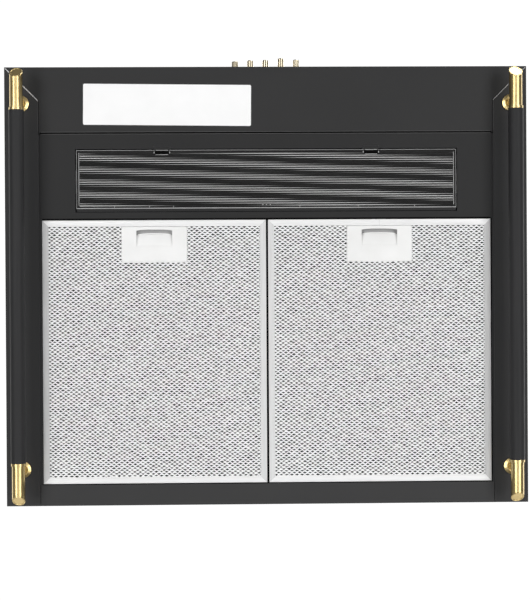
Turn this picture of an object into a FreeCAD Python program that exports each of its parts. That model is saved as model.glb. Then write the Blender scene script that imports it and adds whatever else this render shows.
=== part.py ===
import FreeCAD, Part
import os
import re
import Sketcher

# Chimney range hood, 60 cm wide. Millimetres. The wall is the plane y = 0, the front faces -Y,
# z = 0 is the plane of the rim's underside and x = 0 the middle.

doc = FreeCAD.newDocument("range_hood")
sheet_obj = doc.addObject("Spreadsheet::Sheet", "Dims")

# Driving dimensions: alias, value, meaning
SIZES = [
    ("rim_width", 600, "rim, overall width"),
    ("rim_depth", 503, "rim, wall to front face"),
    ("rim_height", 65, "rim, height of the upright band"),
    ("metal", 1.0, "thickness of the folded sheet"),
    ("front_flange", 75.5, "front under-flange, front to back"),
    ("side_flange", 38.5, "side under-flange, width"),
    ("rear_flange", 24.0, "rear under-flange, front to back"),
    ("seam_gap", 0.9, "gap between neighbouring under-panels"),
    ("mitre_gap", 0.6, "gap in the mitred front corners"),
    ("fold_lip", 8, "upturned stiffening lips"),
    ("lip_inset", 2, "stiffening lips stop short at their ends"),
    ("lip_screw_down", 3.2, "lip screws below the lips' edges"),
    ("lip_screw_span", 200, "lip screws, spacing"),
    ("canopy_height", 200, "sloping canopy, height"),
    ("canopy_wall", 1.4, "canopy wall, measured level"),
    ("chimney_width", 250, "lower chimney cover, width"),
    ("chimney_depth", 240, "lower chimney cover, depth"),
    ("lower_height", 380, "lower chimney cover, height"),
    ("upper_height", 420, "upper chimney cover, height"),
    ("upper_shows", 70, "part of the upper cover above the lower one"),
    ("chimney_return", 14, "rear returns of the chimney covers"),
    ("slip_gap", 0.4, "gap between nested sheets"),
    ("ledge", 10, "ledge around the canopy's top opening"),
    ("upstand", 12, "collar that locates the chimney"),
    ("upstand_play", 0.3, "upstand inside the upper cover, extra room"),
    ("upstand_back", 3, "upstand stops in front of the back panel"),
    ("slot_height", 4, "chimney vent slot, height"),
    ("slot_pitch", 10, "chimney vent slots, spacing"),
    ("slot_length", 110, "chimney vent slot, length"),
    ("slot_drop", 14, "first vent slot below the upper cover's top"),
    ("bracket_height", 25, "chimney bracket, height"),
    ("bracket_down", 30, "chimney bracket, foot below the cover's top"),
    ("bracket_arm", 40, "chimney bracket, arms in front of the wall"),
    ("bracket_ear", 20, "chimney bracket, ears in front of the arms"),
    ("bracket_inset", 4, "chimney bracket, beside the cover's returns"),
    ("bracket_hole_radius", 3, "chimney bracket, radius of its wall holes"),
    ("bracket_hole_span", 120, "chimney bracket, spacing of its wall holes"),
    ("bracket_hole_down", 17.5, "chimney bracket, wall holes below the cover's top"),
    ("bracket_screw_back", 50, "bracket screws in front of the wall"),
    ("bracket_screw_down", 17, "bracket screws below the cover's top"),
    ("bracket_screw_length", 8, "bracket screws, length"),
    ("wall_hole_span", 200, "wall holes, spacing across"),
    ("wall_hole_rise", 100, "wall holes, spacing in height"),
    ("wall_hole_low", 110, "wall holes, height of the lower row"),
    ("wall_hole_dia", 8, "wall holes, diameter"),
    ("lamp_depth", 98.2, "lamp panel, front to back"),
    ("lens_margin", 81.5, "lamp cover end to rim side"),
    ("lens_depth", 69, "lamp cover, front to back"),
    ("lens_setback", 10.7, "lamp cover to the lamp panel's rear edge"),
    ("lens_gap", 1.0, "gap around the lamp cover"),
    ("lens_rear_gap", 2.6, "gap behind the lamp cover, for its swing"),
    ("lens_thick", 2.0, "lamp cover, plate thickness"),
    ("lens_drop", 1.2, "lamp cover stands below the panel"),
    ("lens_wall", 6, "lamp cover, height of its edge walls"),
    ("lens_edge", 1.8, "lamp cover, thickness of its edge walls"),
    ("lens_bevel", 2, "lamp cover, rear bevel for its swing"),
    ("lens_pin_out", 3.5, "lamp cover pins, reach"),
    ("lens_pin_in", 2, "lamp cover pins, in from its rear edge"),
    ("lens_pin_lift", 0.3, "lamp cover pins, clear of the panel"),
    ("ear_half", 4, "ears for the lamp cover pins, half depth"),
    ("ear_rise", 3.5, "ears for the lamp cover pins, height above the pins"),
    ("rib_count", 25, "lamp cover ribs"),
    ("rib_pitch", 2.48, "lamp cover ribs, spacing"),
    ("rib_height", 0.8, "lamp cover ribs, height"),
    ("rib_groove", 0.3, "lamp cover ribs, groove between them"),
    ("rib_root", 0.2, "lamp cover ribs, depth into the plate"),
    ("rib_inset", 1, "lamp cover ribs, plate around their backing"),
    ("rib_end", 4, "lamp cover ribs, in from the ends"),
    ("clip_width", 17, "lamp cover clip tabs, width"),
    ("clip_span", 240, "lamp cover clip tabs, spacing"),
    ("clip_reach", 3, "lamp cover clip tabs, reach"),
    ("clip_height", 4, "lamp cover clip tabs, height"),
    ("pin_radius", 1.5, "small pivot pins"),
    ("tray_height", 50, "lamp tray, height"),
    ("tray_side", 8, "lamp tray, room beside the lamp cover"),
    ("tray_front", 6, "lamp tray, room in front of the lamp cover"),
    ("tray_rear", 5, "lamp tray, room behind the lamp cover"),
    ("tray_foot", 9, "lamp tray, resting flange"),
    ("holder_radius", 14, "lamp holder, radius"),
    ("holder_length", 24, "lamp holder, length"),
    ("holder_floor", 6, "lamp holder, floor behind the bulb"),
    ("bulb_radius", 17.5, "bulb, radius"),
    ("bulb_length", 78, "bulb glass, length"),
    ("bulb_lift", 2, "bulbs above the tray's middle"),
    ("bulb_taper", 18, "bulb, length of its neck and of its tip"),
    ("bulb_neck_radius", 8, "bulb, radius at the neck"),
    ("bulb_tip_radius", 9, "bulb, radius at the tip"),
    ("bulb_out", 2, "bulb neck in front of its holder"),
    ("bulb_base_radius", 7, "bulb base, radius"),
    ("bulb_base_gap", 0.2, "bulb base, clearance in its holder"),
    ("bulb_seat", 0.5, "bulb base above the holder's floor"),
    ("edge_gap", 3.4, "filter to side flange"),
    ("filter_gap", 2.0, "gap between the filters"),
    ("filter_rise", 1.0, "filter underside above the rim plane"),
    ("filter_thick", 9, "filter frame, height"),
    ("filter_wall", 0.8, "filter frame, sheet"),
    ("filter_lip", 7.4, "filter frame, visible lip"),
    ("tab_length", 9, "filter's rear tabs"),
    ("tab_width", 16, "filter's rear tabs, width"),
    ("tab_thick", 0.9, "filter's rear tabs, thickness"),
    ("tab_span", 128.8, "filter's rear tabs, spacing"),
    ("mesh_gap", 0.2, "filter mesh inside its frame"),
    ("bay_gap", 0.3, "filter mesh around the latch housing"),
    ("catch_down", 3, "filter catch below the filter's top"),
    ("handle_width", 75, "latch housing, width"),
    ("handle_depth", 41, "latch housing, front to back"),
    ("handle_gap", 0.2, "latch housing behind the frame's lip"),
    ("handle_drop", 1.2, "latch housing below the filter's top"),
    ("handle_wall", 0.8, "latch housing, floor and roof"),
    ("handle_skin", 1, "latch housing, front and rear walls"),
    ("recess_width", 41, "finger recess, width"),
    ("recess_depth", 19, "finger recess, front to back"),
    ("recess_inset", 3.6, "finger recess behind the frame's lip"),
    ("finger_gap", 5.2, "gap in front of the latch slide"),
    ("latch_travel", 4, "latch slide, travel"),
    ("slide_room", 3, "room in the housing beside the recess"),
    ("slide_wing", 2, "latch slide, wings beside the recess"),
    ("slide_tail", 3, "latch slide, part behind the recess"),
    ("slide_gap", 0.3, "latch slide, clearance above and below"),
    ("slide_land", 4, "latch slide, flat behind its ramp"),
    ("ramp_rise", 2.8, "latch slide, rise of its ramp"),
    ("tongue_width", 16, "latch tongue, width"),
    ("tongue_thick", 0.5, "latch tongue, thickness"),
    ("tongue_gap", 0.4, "latch tongue, clearance in its slots"),
    ("tongue_hold", 2.5, "latch tongue, reach over the catch"),
    ("tongue_lap", 10, "latch tongue, part on the slide"),
    ("button_pitch", 17.9, "push-buttons, spacing"),
    ("button_radius", 3.75, "push-buttons, radius"),
    ("button_chamfer", 0.7, "push-buttons, chamfer"),
    ("button_shoulder", 1.2, "push-buttons, shoulder behind the panel"),
    ("button_gap", 0.2, "push-buttons and stems, clearance"),
    ("button_travel", 4, "push-buttons, travel"),
    ("button_1_out", 11.5, "push-button 1 stands out of the panel"),
    ("button_2_out", 12.8, "push-button 2 stands out of the panel"),
    ("button_3_out", 13.1, "push-button 3 stands out of the panel"),
    ("button_4_out", 15.1, "push-button 4 stands out of the panel"),
    ("button_5_out", 13.4, "push-button 5 stands out of the panel"),
    ("stem_radius", 2.4, "push-button stems, radius"),
    ("stem_length", 14, "push-button stems inside the switch block"),
    ("stem_spare", 2, "bore behind a pressed stem"),
    ("switch_back", 7, "switch block behind the front panel"),
    ("switch_depth", 26, "switch block, front to back"),
    ("switch_height", 24, "switch block, height"),
    ("switch_margin", 10, "switch block beside the outer buttons"),
    ("switch_plate", 1.2, "switch bracket, sheet"),
    ("switch_foot", 22, "switch bracket, foot"),
    ("rail_inset", 18.6, "rail axis to the rim's side"),
    ("rail_drop", 30, "rail axis below the rim plane"),
    ("rail_radius", 8.5, "rail grip, radius"),
    ("rail_end_inset", 4.2, "rail tips to the front and the wall"),
    ("end_radius", 7.25, "brass rail end, radius"),
    ("end_length", 49, "brass rail end, length"),
    ("end_ring_radius", 8.25, "ring on the brass end, radius"),
    ("end_ring", 3, "ring on the brass end, length"),
    ("end_slant", 13, "length over which the tip is cut slanting"),
    ("slant_over", 0.5, "slanted cut past the tip's edges"),
    ("spigot_radius", 4.9, "spigot of the brass end, radius"),
    ("spigot_length", 20, "spigot of the brass end, length"),
    ("spigot_gap", 0.1, "spigot clearance in the grip tube"),
    ("post_inset", 42, "rail posts to the front and the wall"),
    ("post_radius", 4, "rail posts, radius"),
    ("post_seat", 4, "rail posts end above the rail's axis"),
    ("post_bore", 13, "rail posts, depth of the screw bore"),
    ("rail_screw_radius", 2, "rail screws, shank radius"),
    ("rail_screw_head", 4, "rail screws, head radius"),
    ("rail_screw_length", 12, "rail screws, length in the posts"),
    ("rail_screw_gap", 0.25, "rail screws, clearance in the flange"),
    ("rosette_radius", 9.5, "rosettes, radius"),
    ("rosette_height", 3, "rosettes, height"),
    ("rosette_slope", 3, "rosettes, width of the sloping edge"),
    ("fit", 0.05, "radial clearance of turned fits"),
    ("plate", 1.5, "blower plate and brackets, sheet"),
    ("plate_margin", 2, "blower plate inside the canopy's top"),
    ("plate_gap", 0.5, "blower plate around the casing outlet"),
    ("blower_screw_end", 3, "blower screws past the plate"),
    ("fan_drop", 105, "blower axis below the canopy's top"),
    ("casing_radius", 92, "blower casing, radius"),
    ("casing_width", 140, "blower casing, width"),
    ("casing_wall", 2, "blower casing, wall"),
    ("outlet_depth", 122, "casing outlet, front to back"),
    ("outlet_back", 16, "outlet centre in front of the chimney's middle"),
    ("outlet_rim", 16, "flange around the casing outlet"),
    ("inlet_radius", 50, "casing inlets, radius"),
    ("guard_thick", 2, "inlet guard, thickness"),
    ("guard_lap", 6, "inlet guard past the inlet's edge"),
    ("guard_rim", 6.5, "inlet guard, width of the outer ring"),
    ("guard_bar", 3, "inlet guard, width of inner rings and spokes"),
    ("guard_middle", 33, "inlet guard, radius of the middle ring"),
    ("guard_inner", 16.5, "inlet guard, radius of the inner ring"),
    ("fan_radius", 65, "impeller, radius"),
    ("fan_width", 116, "impeller, width"),
    ("blade_count", 36, "impeller blades"),
    ("blade_depth", 11, "impeller blades, radial depth"),
    ("blade_thick", 1.2, "impeller blades, thickness"),
    ("blade_inset", 0.6, "impeller blades inside the rings' edges"),
    ("fan_ring", 3, "impeller rings, width"),
    ("hub_thick", 2, "impeller hub, thickness"),
    ("boss_radius", 12, "impeller boss, radius"),
    ("boss_length", 16, "impeller boss, length"),
    ("boss_back", 11, "impeller boss, part on the inlet side"),
    ("motor_radius", 40, "motor, radius"),
    ("motor_start", 8, "motor beside the casing's middle"),
    ("mount_rim", 6, "motor bracket ring, radial width"),
    ("mount_depth", 6, "motor bracket ring, depth"),
    ("mount_lap", 4, "motor bracket ring inside the casing's side"),
    ("mount_arm", 12, "motor bracket arms, width"),
    ("mount_arm_thick", 2, "motor bracket arms, thickness"),
    ("mount_arm_lap", 14, "motor bracket arms past the inlet's edge"),
    ("mount_gap", 0.1, "motor bracket around the motor"),
    ("shaft_radius", 4, "motor shaft, radius"),
    ("shaft_tail", 12, "motor shaft, part on the inlet side"),
    ("shaft_in", 4, "motor shaft ends inside the casing's side"),
    ("duct_radius", 75, "outlet collar, outside radius"),
    ("collar_height", 60, "outlet collar, height"),
    ("collar_step", 6, "outlet collar, wall below the flaps"),
    ("flap_height", 15, "damper pivots above the collar's base"),
    ("flap_offset", 4, "damper pivots beside the collar's middle"),
    ("flap_thick", 1.5, "damper flaps, thickness"),
    ("flap_room", 2.6, "room below the damper pivots"),
    ("flap_gap", 0.8, "damper flaps, clearance in the collar"),
    ("flap_barrel", 2.2, "damper barrels, radius"),
    ("flap_barrel_in", 9, "damper barrels, in from the collar's outside"),
    ("flap_pin_in", 0.7, "damper pins, in from the collar's outside"),
    ("box_width", 90, "junction box, width"),
    ("box_depth", 38, "junction box, front to back"),
    ("box_height", 60, "junction box, height"),
    ("box_wall", 2, "junction box, wall"),
    ("box_back", 11, "junction box in front of the upper cover"),
    ("box_side", 14, "electrics beside the middle"),
    ("lid_thick", 1.5, "junction box lid, thickness"),
    ("gland_radius", 9, "cable gland, radius"),
    ("gland_bore", 4.5, "cable gland, bore radius"),
    ("gland_height", 16, "cable gland, height"),
    ("gland_wall", 2, "cable gland, wall of its neck"),
    ("gland_neck", 6, "cable gland, neck inside the box"),
    ("gland_gap", 0.1, "cable gland, clearance in the box"),
    ("cap_radius", 15, "capacitor, radius"),
    ("cap_length", 56, "capacitor, length"),
    ("cap_clear", 3, "capacitor above the plate"),
    ("cap_gap", 0.1, "capacitor, clearance in its strap"),
    ("strap_wall", 1.5, "capacitor strap, wall"),
    ("strap_width", 16, "capacitor strap, width"),
    ("strap_foot", 24, "capacitor strap, foot"),
    ("strap_foot_height", 6, "capacitor strap, height of the foot"),
    ("screw_radius", 1.5, "small screws, shank radius"),
    ("screw_head", 3.2, "small screws, head radius"),
    ("screw_head_height", 2.2, "small screws, head height"),
    ("screw_hole", 1.7, "small screw holes, radius"),
    ("panel_screw_length", 7, "panel and chimney screws, length"),
    ("cut_over", 10, "cutting shapes reach past what they cut"),
]
NAMES = {alias for alias, value, meaning in SIZES}
for row, (alias, value, meaning) in enumerate(SIZES, 1):
    sheet_obj.set(f"A{row}", meaning)
    sheet_obj.set(f"B{row}", str(value))
    sheet_obj.setAlias(f"B{row}", alias)
doc.recompute()

# Places that follow from the driving dimensions
HALF_W = "(rim_width/2)"
INNER_X = "(rim_width/2 - side_flange)"
CANOPY_TOP = "(rim_height + canopy_height)"
FILTER_REAR = "(-rear_flange - seam_gap)"
FILTER_FRONT = "(-rim_depth + front_flange + lamp_depth + 2*seam_gap)"
FILTER_DEPTH = f"({FILTER_REAR} - {FILTER_FRONT})"
FILTER_WIDTH = "(rim_width/2 - side_flange - edge_gap - filter_gap/2)"
LAMP_FRONT = "(-rim_depth + front_flange + seam_gap)"
LAMP_REAR = f"({LAMP_FRONT} + lamp_depth)"
LENS_REAR = f"({LAMP_REAR} - lens_setback)"
LENS_FRONT = f"({LENS_REAR} - lens_depth)"
LENS_HALF = "(rim_width/2 - lens_margin)"
LENS_PIN_Y = f"({LENS_REAR} - lens_pin_in)"
LENS_PIN_Z = "(metal + pin_radius + lens_pin_lift)"
CATCH_TOP = "(filter_rise + filter_thick - catch_down)"
BUTTON_Z = "(rim_height/2)"
SWITCH_FRONT = "(-rim_depth + metal + switch_back)"
RAIL_X = "(rim_width/2 - rail_inset)"
RAIL_FRONT = "(-rim_depth + rail_end_inset)"
PLATE_TOP = f"({CANOPY_TOP} - metal)"
OUTLET_Y = "(-chimney_depth/2 - outlet_back)"
FAN_Y = f"({OUTLET_Y} - outlet_depth/2 + casing_radius)"
FAN_Z = f"({CANOPY_TOP} - fan_drop)"
COLLAR_BASE = f"({PLATE_TOP} + casing_wall)"
COLLAR_FOOT = f"({COLLAR_BASE} + casing_wall)"
FLAP_Z = f"({COLLAR_FOOT} + flap_height)"
LOWER_TOP = f"({CANOPY_TOP} + lower_height)"
UPPER_FOOT = f"({LOWER_TOP} + upper_shows - upper_height)"
UPPER_TOP = f"({LOWER_TOP} + upper_shows)"
UPPER_HALF = "(chimney_width/2 - metal - slip_gap)"
UPSTAND_HALF = f"({UPPER_HALF} - metal - slip_gap - upstand_play)"

AXES = {
    "x": FreeCAD.Rotation(FreeCAD.Vector(0, 1, 0), 90),
    "y": FreeCAD.Rotation(FreeCAD.Vector(1, 0, 0), -90),
    "z": FreeCAD.Rotation(),
}
UPRIGHT = FreeCAD.Rotation(FreeCAD.Vector(1, 0, 0), 90)
nodes = []


# Helpers: every size and place is an expression over the sheet
def bound(text):
    """An expression with each alias pointed at the sheet."""
    return re.sub(
        r"[a-z][a-z_0-9]*",
        lambda word: f"Dims.{word.group(0)}" if word.group(0) in NAMES else word.group(0),
        str(text),
    )


def bind(obj, **sizes):
    for prop, text in sizes.items():
        obj.setExpression(prop.replace("__", "."), bound(text))
    return obj


def place(obj, x, y, z, turn=None):
    if turn is not None:
        obj.Placement = FreeCAD.Placement(FreeCAD.Vector(), turn)
    return bind(obj, Placement__Base__x=x, Placement__Base__y=y, Placement__Base__z=z)


def block(name, x, y, z, dx, dy, dz):
    """A box from its lowest corner."""
    obj = doc.addObject("Part::Box", name)
    bind(obj, Length=dx, Width=dy, Height=dz)
    return place(obj, x, y, z)


def wide_block(name, half, y, z, dy, dz):
    """A box centred on x = 0."""
    return block(name, f"-({half})", y, z, f"2*({half})", dy, dz)


def rod(name, axis, radius, length, x, y, z):
    """A cylinder that starts at a point and runs along an axis."""
    obj = doc.addObject("Part::Cylinder", name)
    bind(obj, Radius=radius, Height=length)
    return place(obj, x, y, z, AXES[axis])


def cone(name, low, high, height, x, y, z, axis="z"):
    obj = doc.addObject("Part::Cone", name)
    bind(obj, Radius1=low, Radius2=high, Height=height)
    return place(obj, x, y, z, AXES[axis])


def taper(name, turn, x, y, z, **limits):
    """A wedge: two rectangles, at Ymin and Ymax, joined by flat sides."""
    obj = doc.addObject("Part::Wedge", name)
    bind(obj, **limits)
    return place(obj, x, y, z, turn)


def join(name, *pieces):
    obj = doc.addObject("Part::MultiFuse", name)
    obj.Shapes = list(pieces)
    obj.Refine = True
    return obj


def group(name, *pieces):
    obj = doc.addObject("Part::Compound", name)
    obj.Links = list(pieces)
    return obj


def take(name, base, *tools):
    """A shape with others taken out of it, one after the other."""
    for index, tool in enumerate(tools):
        obj = doc.addObject("Part::Cut", name if index == len(tools) - 1 else f"{name}_less_{index}")
        obj.Base = base
        obj.Tool = tool
        obj.Refine = True
        base = obj
    return base


def keep(name, *pieces):
    obj = doc.addObject("Part::MultiCommon", name)
    obj.Shapes = list(pieces)
    obj.Refine = True
    return obj


def mirror(name, source, normal, base_y="0"):
    obj = doc.addObject("Part::Mirroring", name)
    obj.Source = source
    obj.Normal = FreeCAD.Vector(*normal)
    bind(obj, Base__y=base_y)
    return obj


def node(label, obj):
    """Names a finished sub-part, which then gets its own file."""
    obj.Label = label
    nodes.append(obj)
    return obj


def both_sides(stem, left):
    """The left piece and its mirror image on the right."""
    node(f"left_{stem}", left)
    return node(f"right_{stem}", mirror(f"right_{stem}", left, (1, 0, 0)))


GUESS = FreeCAD.Vector(10, 0, 0)


def outline(body, name, role, points):
    """A closed sketch on one of the body's own planes, each corner tied to two expressions.

    The corners start on a ring, and the ties then move them to their places.
    """
    plane = [f for f in body.Origin.OriginFeatures if f.Role == role][0]
    sketch = body.newObject("Sketcher::SketchObject", name)
    sketch.AttachmentSupport = [(plane, "")]
    sketch.MapMode = "FlatFace"
    count = len(points)
    ring = [GUESS]
    turn = FreeCAD.Rotation(FreeCAD.Vector(0, 0, 1), 360 / count)
    for index in range(count - 1):
        ring.append(turn.multVec(ring[-1]))
    for index in range(count):
        sketch.addGeometry(Part.LineSegment(ring[index], ring[(index + 1) % count]), False)
    for index in range(count):
        sketch.addConstraint(Sketcher.Constraint("Coincident", index, 2, (index + 1) % count, 1))
    for index, (across, along) in enumerate(points):
        for kind, text in (("DistanceX", across), ("DistanceY", along)):
            place_index = sketch.addConstraint(Sketcher.Constraint(kind, -1, 1, index, 1, 1.0))
            sketch.setExpression(f"Constraints[{place_index}]", bound(text))
    return sketch


def rectangle(low_x, low_y, high_x, high_y):
    return [(low_x, low_y), (high_x, low_y), (high_x, high_y), (low_x, high_y)]


# Front panel: upright band, mitred under-flange, lip, holes for buttons and screws
def front_panel():
    band = wide_block("front_band", HALF_W, "-rim_depth", "0", "metal", "rim_height")
    mitred = taper(
        "front_mitred", None, "0", "-rim_depth", "0",
        Xmin=f"-{HALF_W} + mitre_gap", Xmax=f"{HALF_W} - mitre_gap", Ymin="0", Ymax="side_flange",
        Zmin="0", Zmax="metal", X2min=f"-{INNER_X} + mitre_gap", X2max=f"{INNER_X} - mitre_gap",
        Z2min="0", Z2max="metal",
    )
    inner = wide_block(
        "front_inner", f"{INNER_X} - mitre_gap", "-rim_depth + side_flange", "0",
        "front_flange - side_flange", "metal",
    )
    lip = wide_block(
        "front_lip", f"{INNER_X} - mitre_gap - lip_inset", "-rim_depth + front_flange - metal", "0",
        "metal", "fold_lip",
    )
    holes = [
        rod(f"button_hole_{i}", "y", "button_radius + button_gap", "3*metal",
            f"{i - 2}*button_pitch", "-rim_depth - metal", BUTTON_Z)
        for i in range(5)
    ]
    holes += [
        rod(f"front_lip_hole_{i}", "y", "screw_hole", "3*metal",
            f"{i}*lip_screw_span", "-rim_depth + front_flange - 2*metal", "fold_lip - lip_screw_down")
        for i in (-1, 0, 1)
    ]
    return take("front_panel", join("front_folded", band, mitred, inner, lip), group("front_holes", *holes))


# Side panel, left: upright band, under-flange with its mitred front end, lip, rail screw holes
def left_side_panel():
    band = block(
        "side_band", f"-{HALF_W}", "-rim_depth + metal", "0", "metal", "rim_depth - 2*metal", "rim_height",
    )
    flange = taper(
        "side_mitred", FreeCAD.Rotation(FreeCAD.Vector(0, 0, 1), -90), f"-{HALF_W}", "0", "0",
        Xmin="metal", Xmax="rim_depth - metal", Ymin="0", Ymax="side_flange", Zmin="0", Zmax="metal",
        X2min="metal", X2max="rim_depth - side_flange", Z2min="0", Z2max="metal",
    )
    lip = block(
        "side_lip", f"-{INNER_X} - metal", LAMP_FRONT, "0", "metal",
        f"-rear_flange - {LAMP_FRONT}", "fold_lip",
    )
    holes = [
        rod(f"side_hole_{i}", "z", "rail_screw_radius + rail_screw_gap", "3*metal", f"-{RAIL_X}", y, "-metal")
        for i, y in enumerate(("-rim_depth + post_inset", "-post_inset"))
    ]
    corner = block(
        "side_corner", f"-{HALF_W}", "-rim_depth - metal", "-metal", "side_flange", "2*metal",
        "rim_height + 2*metal",
    )
    return take("left_side_panel", join("side_folded", band, flange, lip), group("side_holes", *holes), corner)


# Back panel: tapering plate on the wall, rear under-flange, wall holes
def back_panel():
    low = wide_block("back_low", HALF_W, "-metal", "0", "metal", "rim_height")
    high = taper(
        "back_high", UPRIGHT, "0", "0", "rim_height",
        Xmin=f"-{HALF_W}", Xmax=HALF_W, Ymin="0", Ymax="canopy_height", Zmin="0", Zmax="metal",
        X2min="-chimney_width/2", X2max="chimney_width/2", Z2min="0", Z2max="metal",
    )
    flange = wide_block("back_flange", f"{INNER_X} - mitre_gap", "-rear_flange", "0", "rear_flange", "metal")
    holes = [
        rod(f"wall_hole_{i}_{k}", "y", "wall_hole_dia/2", "3*metal",
            f"{i}*wall_hole_span/2", "-2*metal", f"wall_hole_low + {k}*wall_hole_rise")
        for i in (-1, 1) for k in (0, 1)
    ]
    return take("back_panel", join("back_folded", low, high, flange), group("wall_holes", *holes))


# Canopy: sloping shell, open at the back and below, top ledge and locating upstand
def canopy():
    outer = taper(
        "canopy_outer", UPRIGHT, "0", "0", "rim_height",
        Xmin=f"-{HALF_W}", Xmax=HALF_W, Ymin="0", Ymax="canopy_height", Zmin="metal", Zmax="rim_depth",
        X2min="-chimney_width/2", X2max="chimney_width/2", Z2min="metal", Z2max="chimney_depth",
    )
    inner = taper(
        "canopy_inner", UPRIGHT, "0", "0", "rim_height",
        Xmin=f"-{HALF_W} + canopy_wall", Xmax=f"{HALF_W} - canopy_wall", Ymin="0", Ymax="canopy_height",
        Zmin="0", Zmax="rim_depth - canopy_wall", X2min="-chimney_width/2 + canopy_wall",
        X2max="chimney_width/2 - canopy_wall", Z2min="0", Z2max="chimney_depth - canopy_wall",
    )
    ledge = wide_block(
        "canopy_ledge", "chimney_width/2 - canopy_wall/2", "-chimney_depth + canopy_wall/2", PLATE_TOP,
        "chimney_depth - canopy_wall/2 - metal", "metal",
    )
    upstand = wide_block(
        "canopy_upstand", UPSTAND_HALF, "-chimney_depth + 3*metal", PLATE_TOP,
        "chimney_depth - 4*metal - upstand_back", "upstand + metal",
    )
    upstand_hollow = wide_block(
        "canopy_upstand_hollow", f"{UPSTAND_HALF} - metal", "-chimney_depth + 4*metal",
        f"{PLATE_TOP} - cut_over", "chimney_depth", "upstand + 3*cut_over",
    )
    opening = wide_block(
        "canopy_opening", "chimney_width/2 - ledge", "-chimney_depth + ledge", f"{PLATE_TOP} - cut_over",
        "chimney_depth", "2*cut_over",
    )
    shell = take("canopy_shell", outer, inner)
    wall = take("canopy_upstand_wall", upstand, upstand_hollow)
    hole = rod(
        "canopy_screw_holes", "x", "screw_hole", "2*chimney_width", "-chimney_width", "-chimney_depth/2",
        f"{CANOPY_TOP} + upstand/2",
    )
    return take("canopy", join("canopy_joined", shell, take("canopy_rim", ledge, opening), wall), hole)


# Chimney covers: three-sided channels with rear returns, open to the wall
def channel(name, half, front, back, foot, height, extra):
    outer = wide_block(f"{name}_outer", half, front, foot, f"({back}) - ({front})", height)
    hollow = wide_block(
        f"{name}_hollow", f"({half}) - metal", f"({front}) + metal", f"({foot}) - cut_over",
        f"({back}) - ({front}) - 2*metal", f"({height}) + 2*cut_over",
    )
    slot = wide_block(
        f"{name}_back", f"({half}) - chimney_return", f"({back}) - 2*metal", f"({foot}) - cut_over",
        "4*metal", f"({height}) + 2*cut_over",
    )
    return take(name, outer, hollow, slot, group(f"{name}_holes", *extra))


def lower_chimney():
    hole = rod(
        "lower_chimney_screw_holes", "x", "screw_hole", "2*chimney_width", "-chimney_width", "-chimney_depth/2",
        f"{CANOPY_TOP} + upstand/2",
    )
    return channel(
        "lower_chimney", "chimney_width/2", "-chimney_depth", "0", CANOPY_TOP, "lower_height", [hole],
    )


def upper_chimney():
    slots = [
        wide_block(
            f"vent_slot_{i}", "chimney_width", "-chimney_depth/2 - slot_length/2",
            f"{UPPER_TOP} - slot_drop - slot_height - {i}*slot_pitch", "slot_length", "slot_height",
        )
        for i in range(4)
    ]
    slots.append(rod(
        "upper_chimney_screw_holes", "x", "screw_hole", "2*chimney_width", "-chimney_width",
        "-bracket_screw_back", f"{UPPER_TOP} - bracket_screw_down",
    ))
    return channel(
        "upper_chimney", UPPER_HALF, "-chimney_depth + metal + slip_gap", "-metal - slip_gap",
        UPPER_FOOT, "upper_height", slots,
    )


# Bracket that ties the upper cover to the wall
def chimney_bracket():
    low = f"{UPPER_TOP} - bracket_down"
    mid = f"({UPPER_HALF} - chimney_return - bracket_inset)"
    side_x = f"({UPPER_HALF} - metal - slip_gap)"
    reach = f"{side_x} - {mid} + plate"
    ear_y = "-bracket_arm - bracket_ear"
    pieces = [wide_block("bracket_wall", mid, "-plate", low, "plate", "bracket_height")]
    for side, arm_x, step_x, ear_x in (
        ("a", f"-{mid}", f"-{side_x}", f"-{side_x}"),
        ("b", f"{mid} - plate", f"{mid} - plate", f"{side_x} - plate"),
    ):
        pieces += [
            block(f"bracket_arm_{side}", arm_x, "-bracket_arm", low, "plate", "bracket_arm", "bracket_height"),
            block(f"bracket_step_{side}", step_x, "-bracket_arm", low, reach, "plate", "bracket_height"),
            block(f"bracket_ear_{side}", ear_x, ear_y, low, "plate", "bracket_ear + plate", "bracket_height"),
        ]
    holes = [
        rod(f"bracket_hole_{i}", "y", "bracket_hole_radius", "2*cut_over",
            f"{i}*bracket_hole_span/2", "-cut_over", f"{UPPER_TOP} - bracket_hole_down")
        for i in (-1, 1)
    ]
    holes.append(rod(
        "bracket_screw_holes", "x", "screw_hole", "2*chimney_width", "-chimney_width",
        "-bracket_screw_back", f"{UPPER_TOP} - bracket_screw_down",
    ))
    return take("chimney_bracket", join("bracket_folded", *pieces), group("bracket_holes", *holes))


# Screws: head and shank, built along an axis from the seat of the head
def screw(name, axis, sign, x, y, z, length, shank="screw_radius", head="screw_head"):
    """The head lies on the side the sign points to; the shank runs the other way."""
    at = "xyz".index(axis)
    head_at = [x, y, z]
    shank_at = [x, y, z]
    if sign < 0:
        head_at[at] = f"({head_at[at]}) - screw_head_height"
    else:
        shank_at[at] = f"({shank_at[at]}) - ({length})"
    return join(
        name,
        rod(f"{name}_head", axis, head, "screw_head_height", *head_at),
        rod(f"{name}_shank", axis, shank, length, *shank_at),
    )


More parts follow.
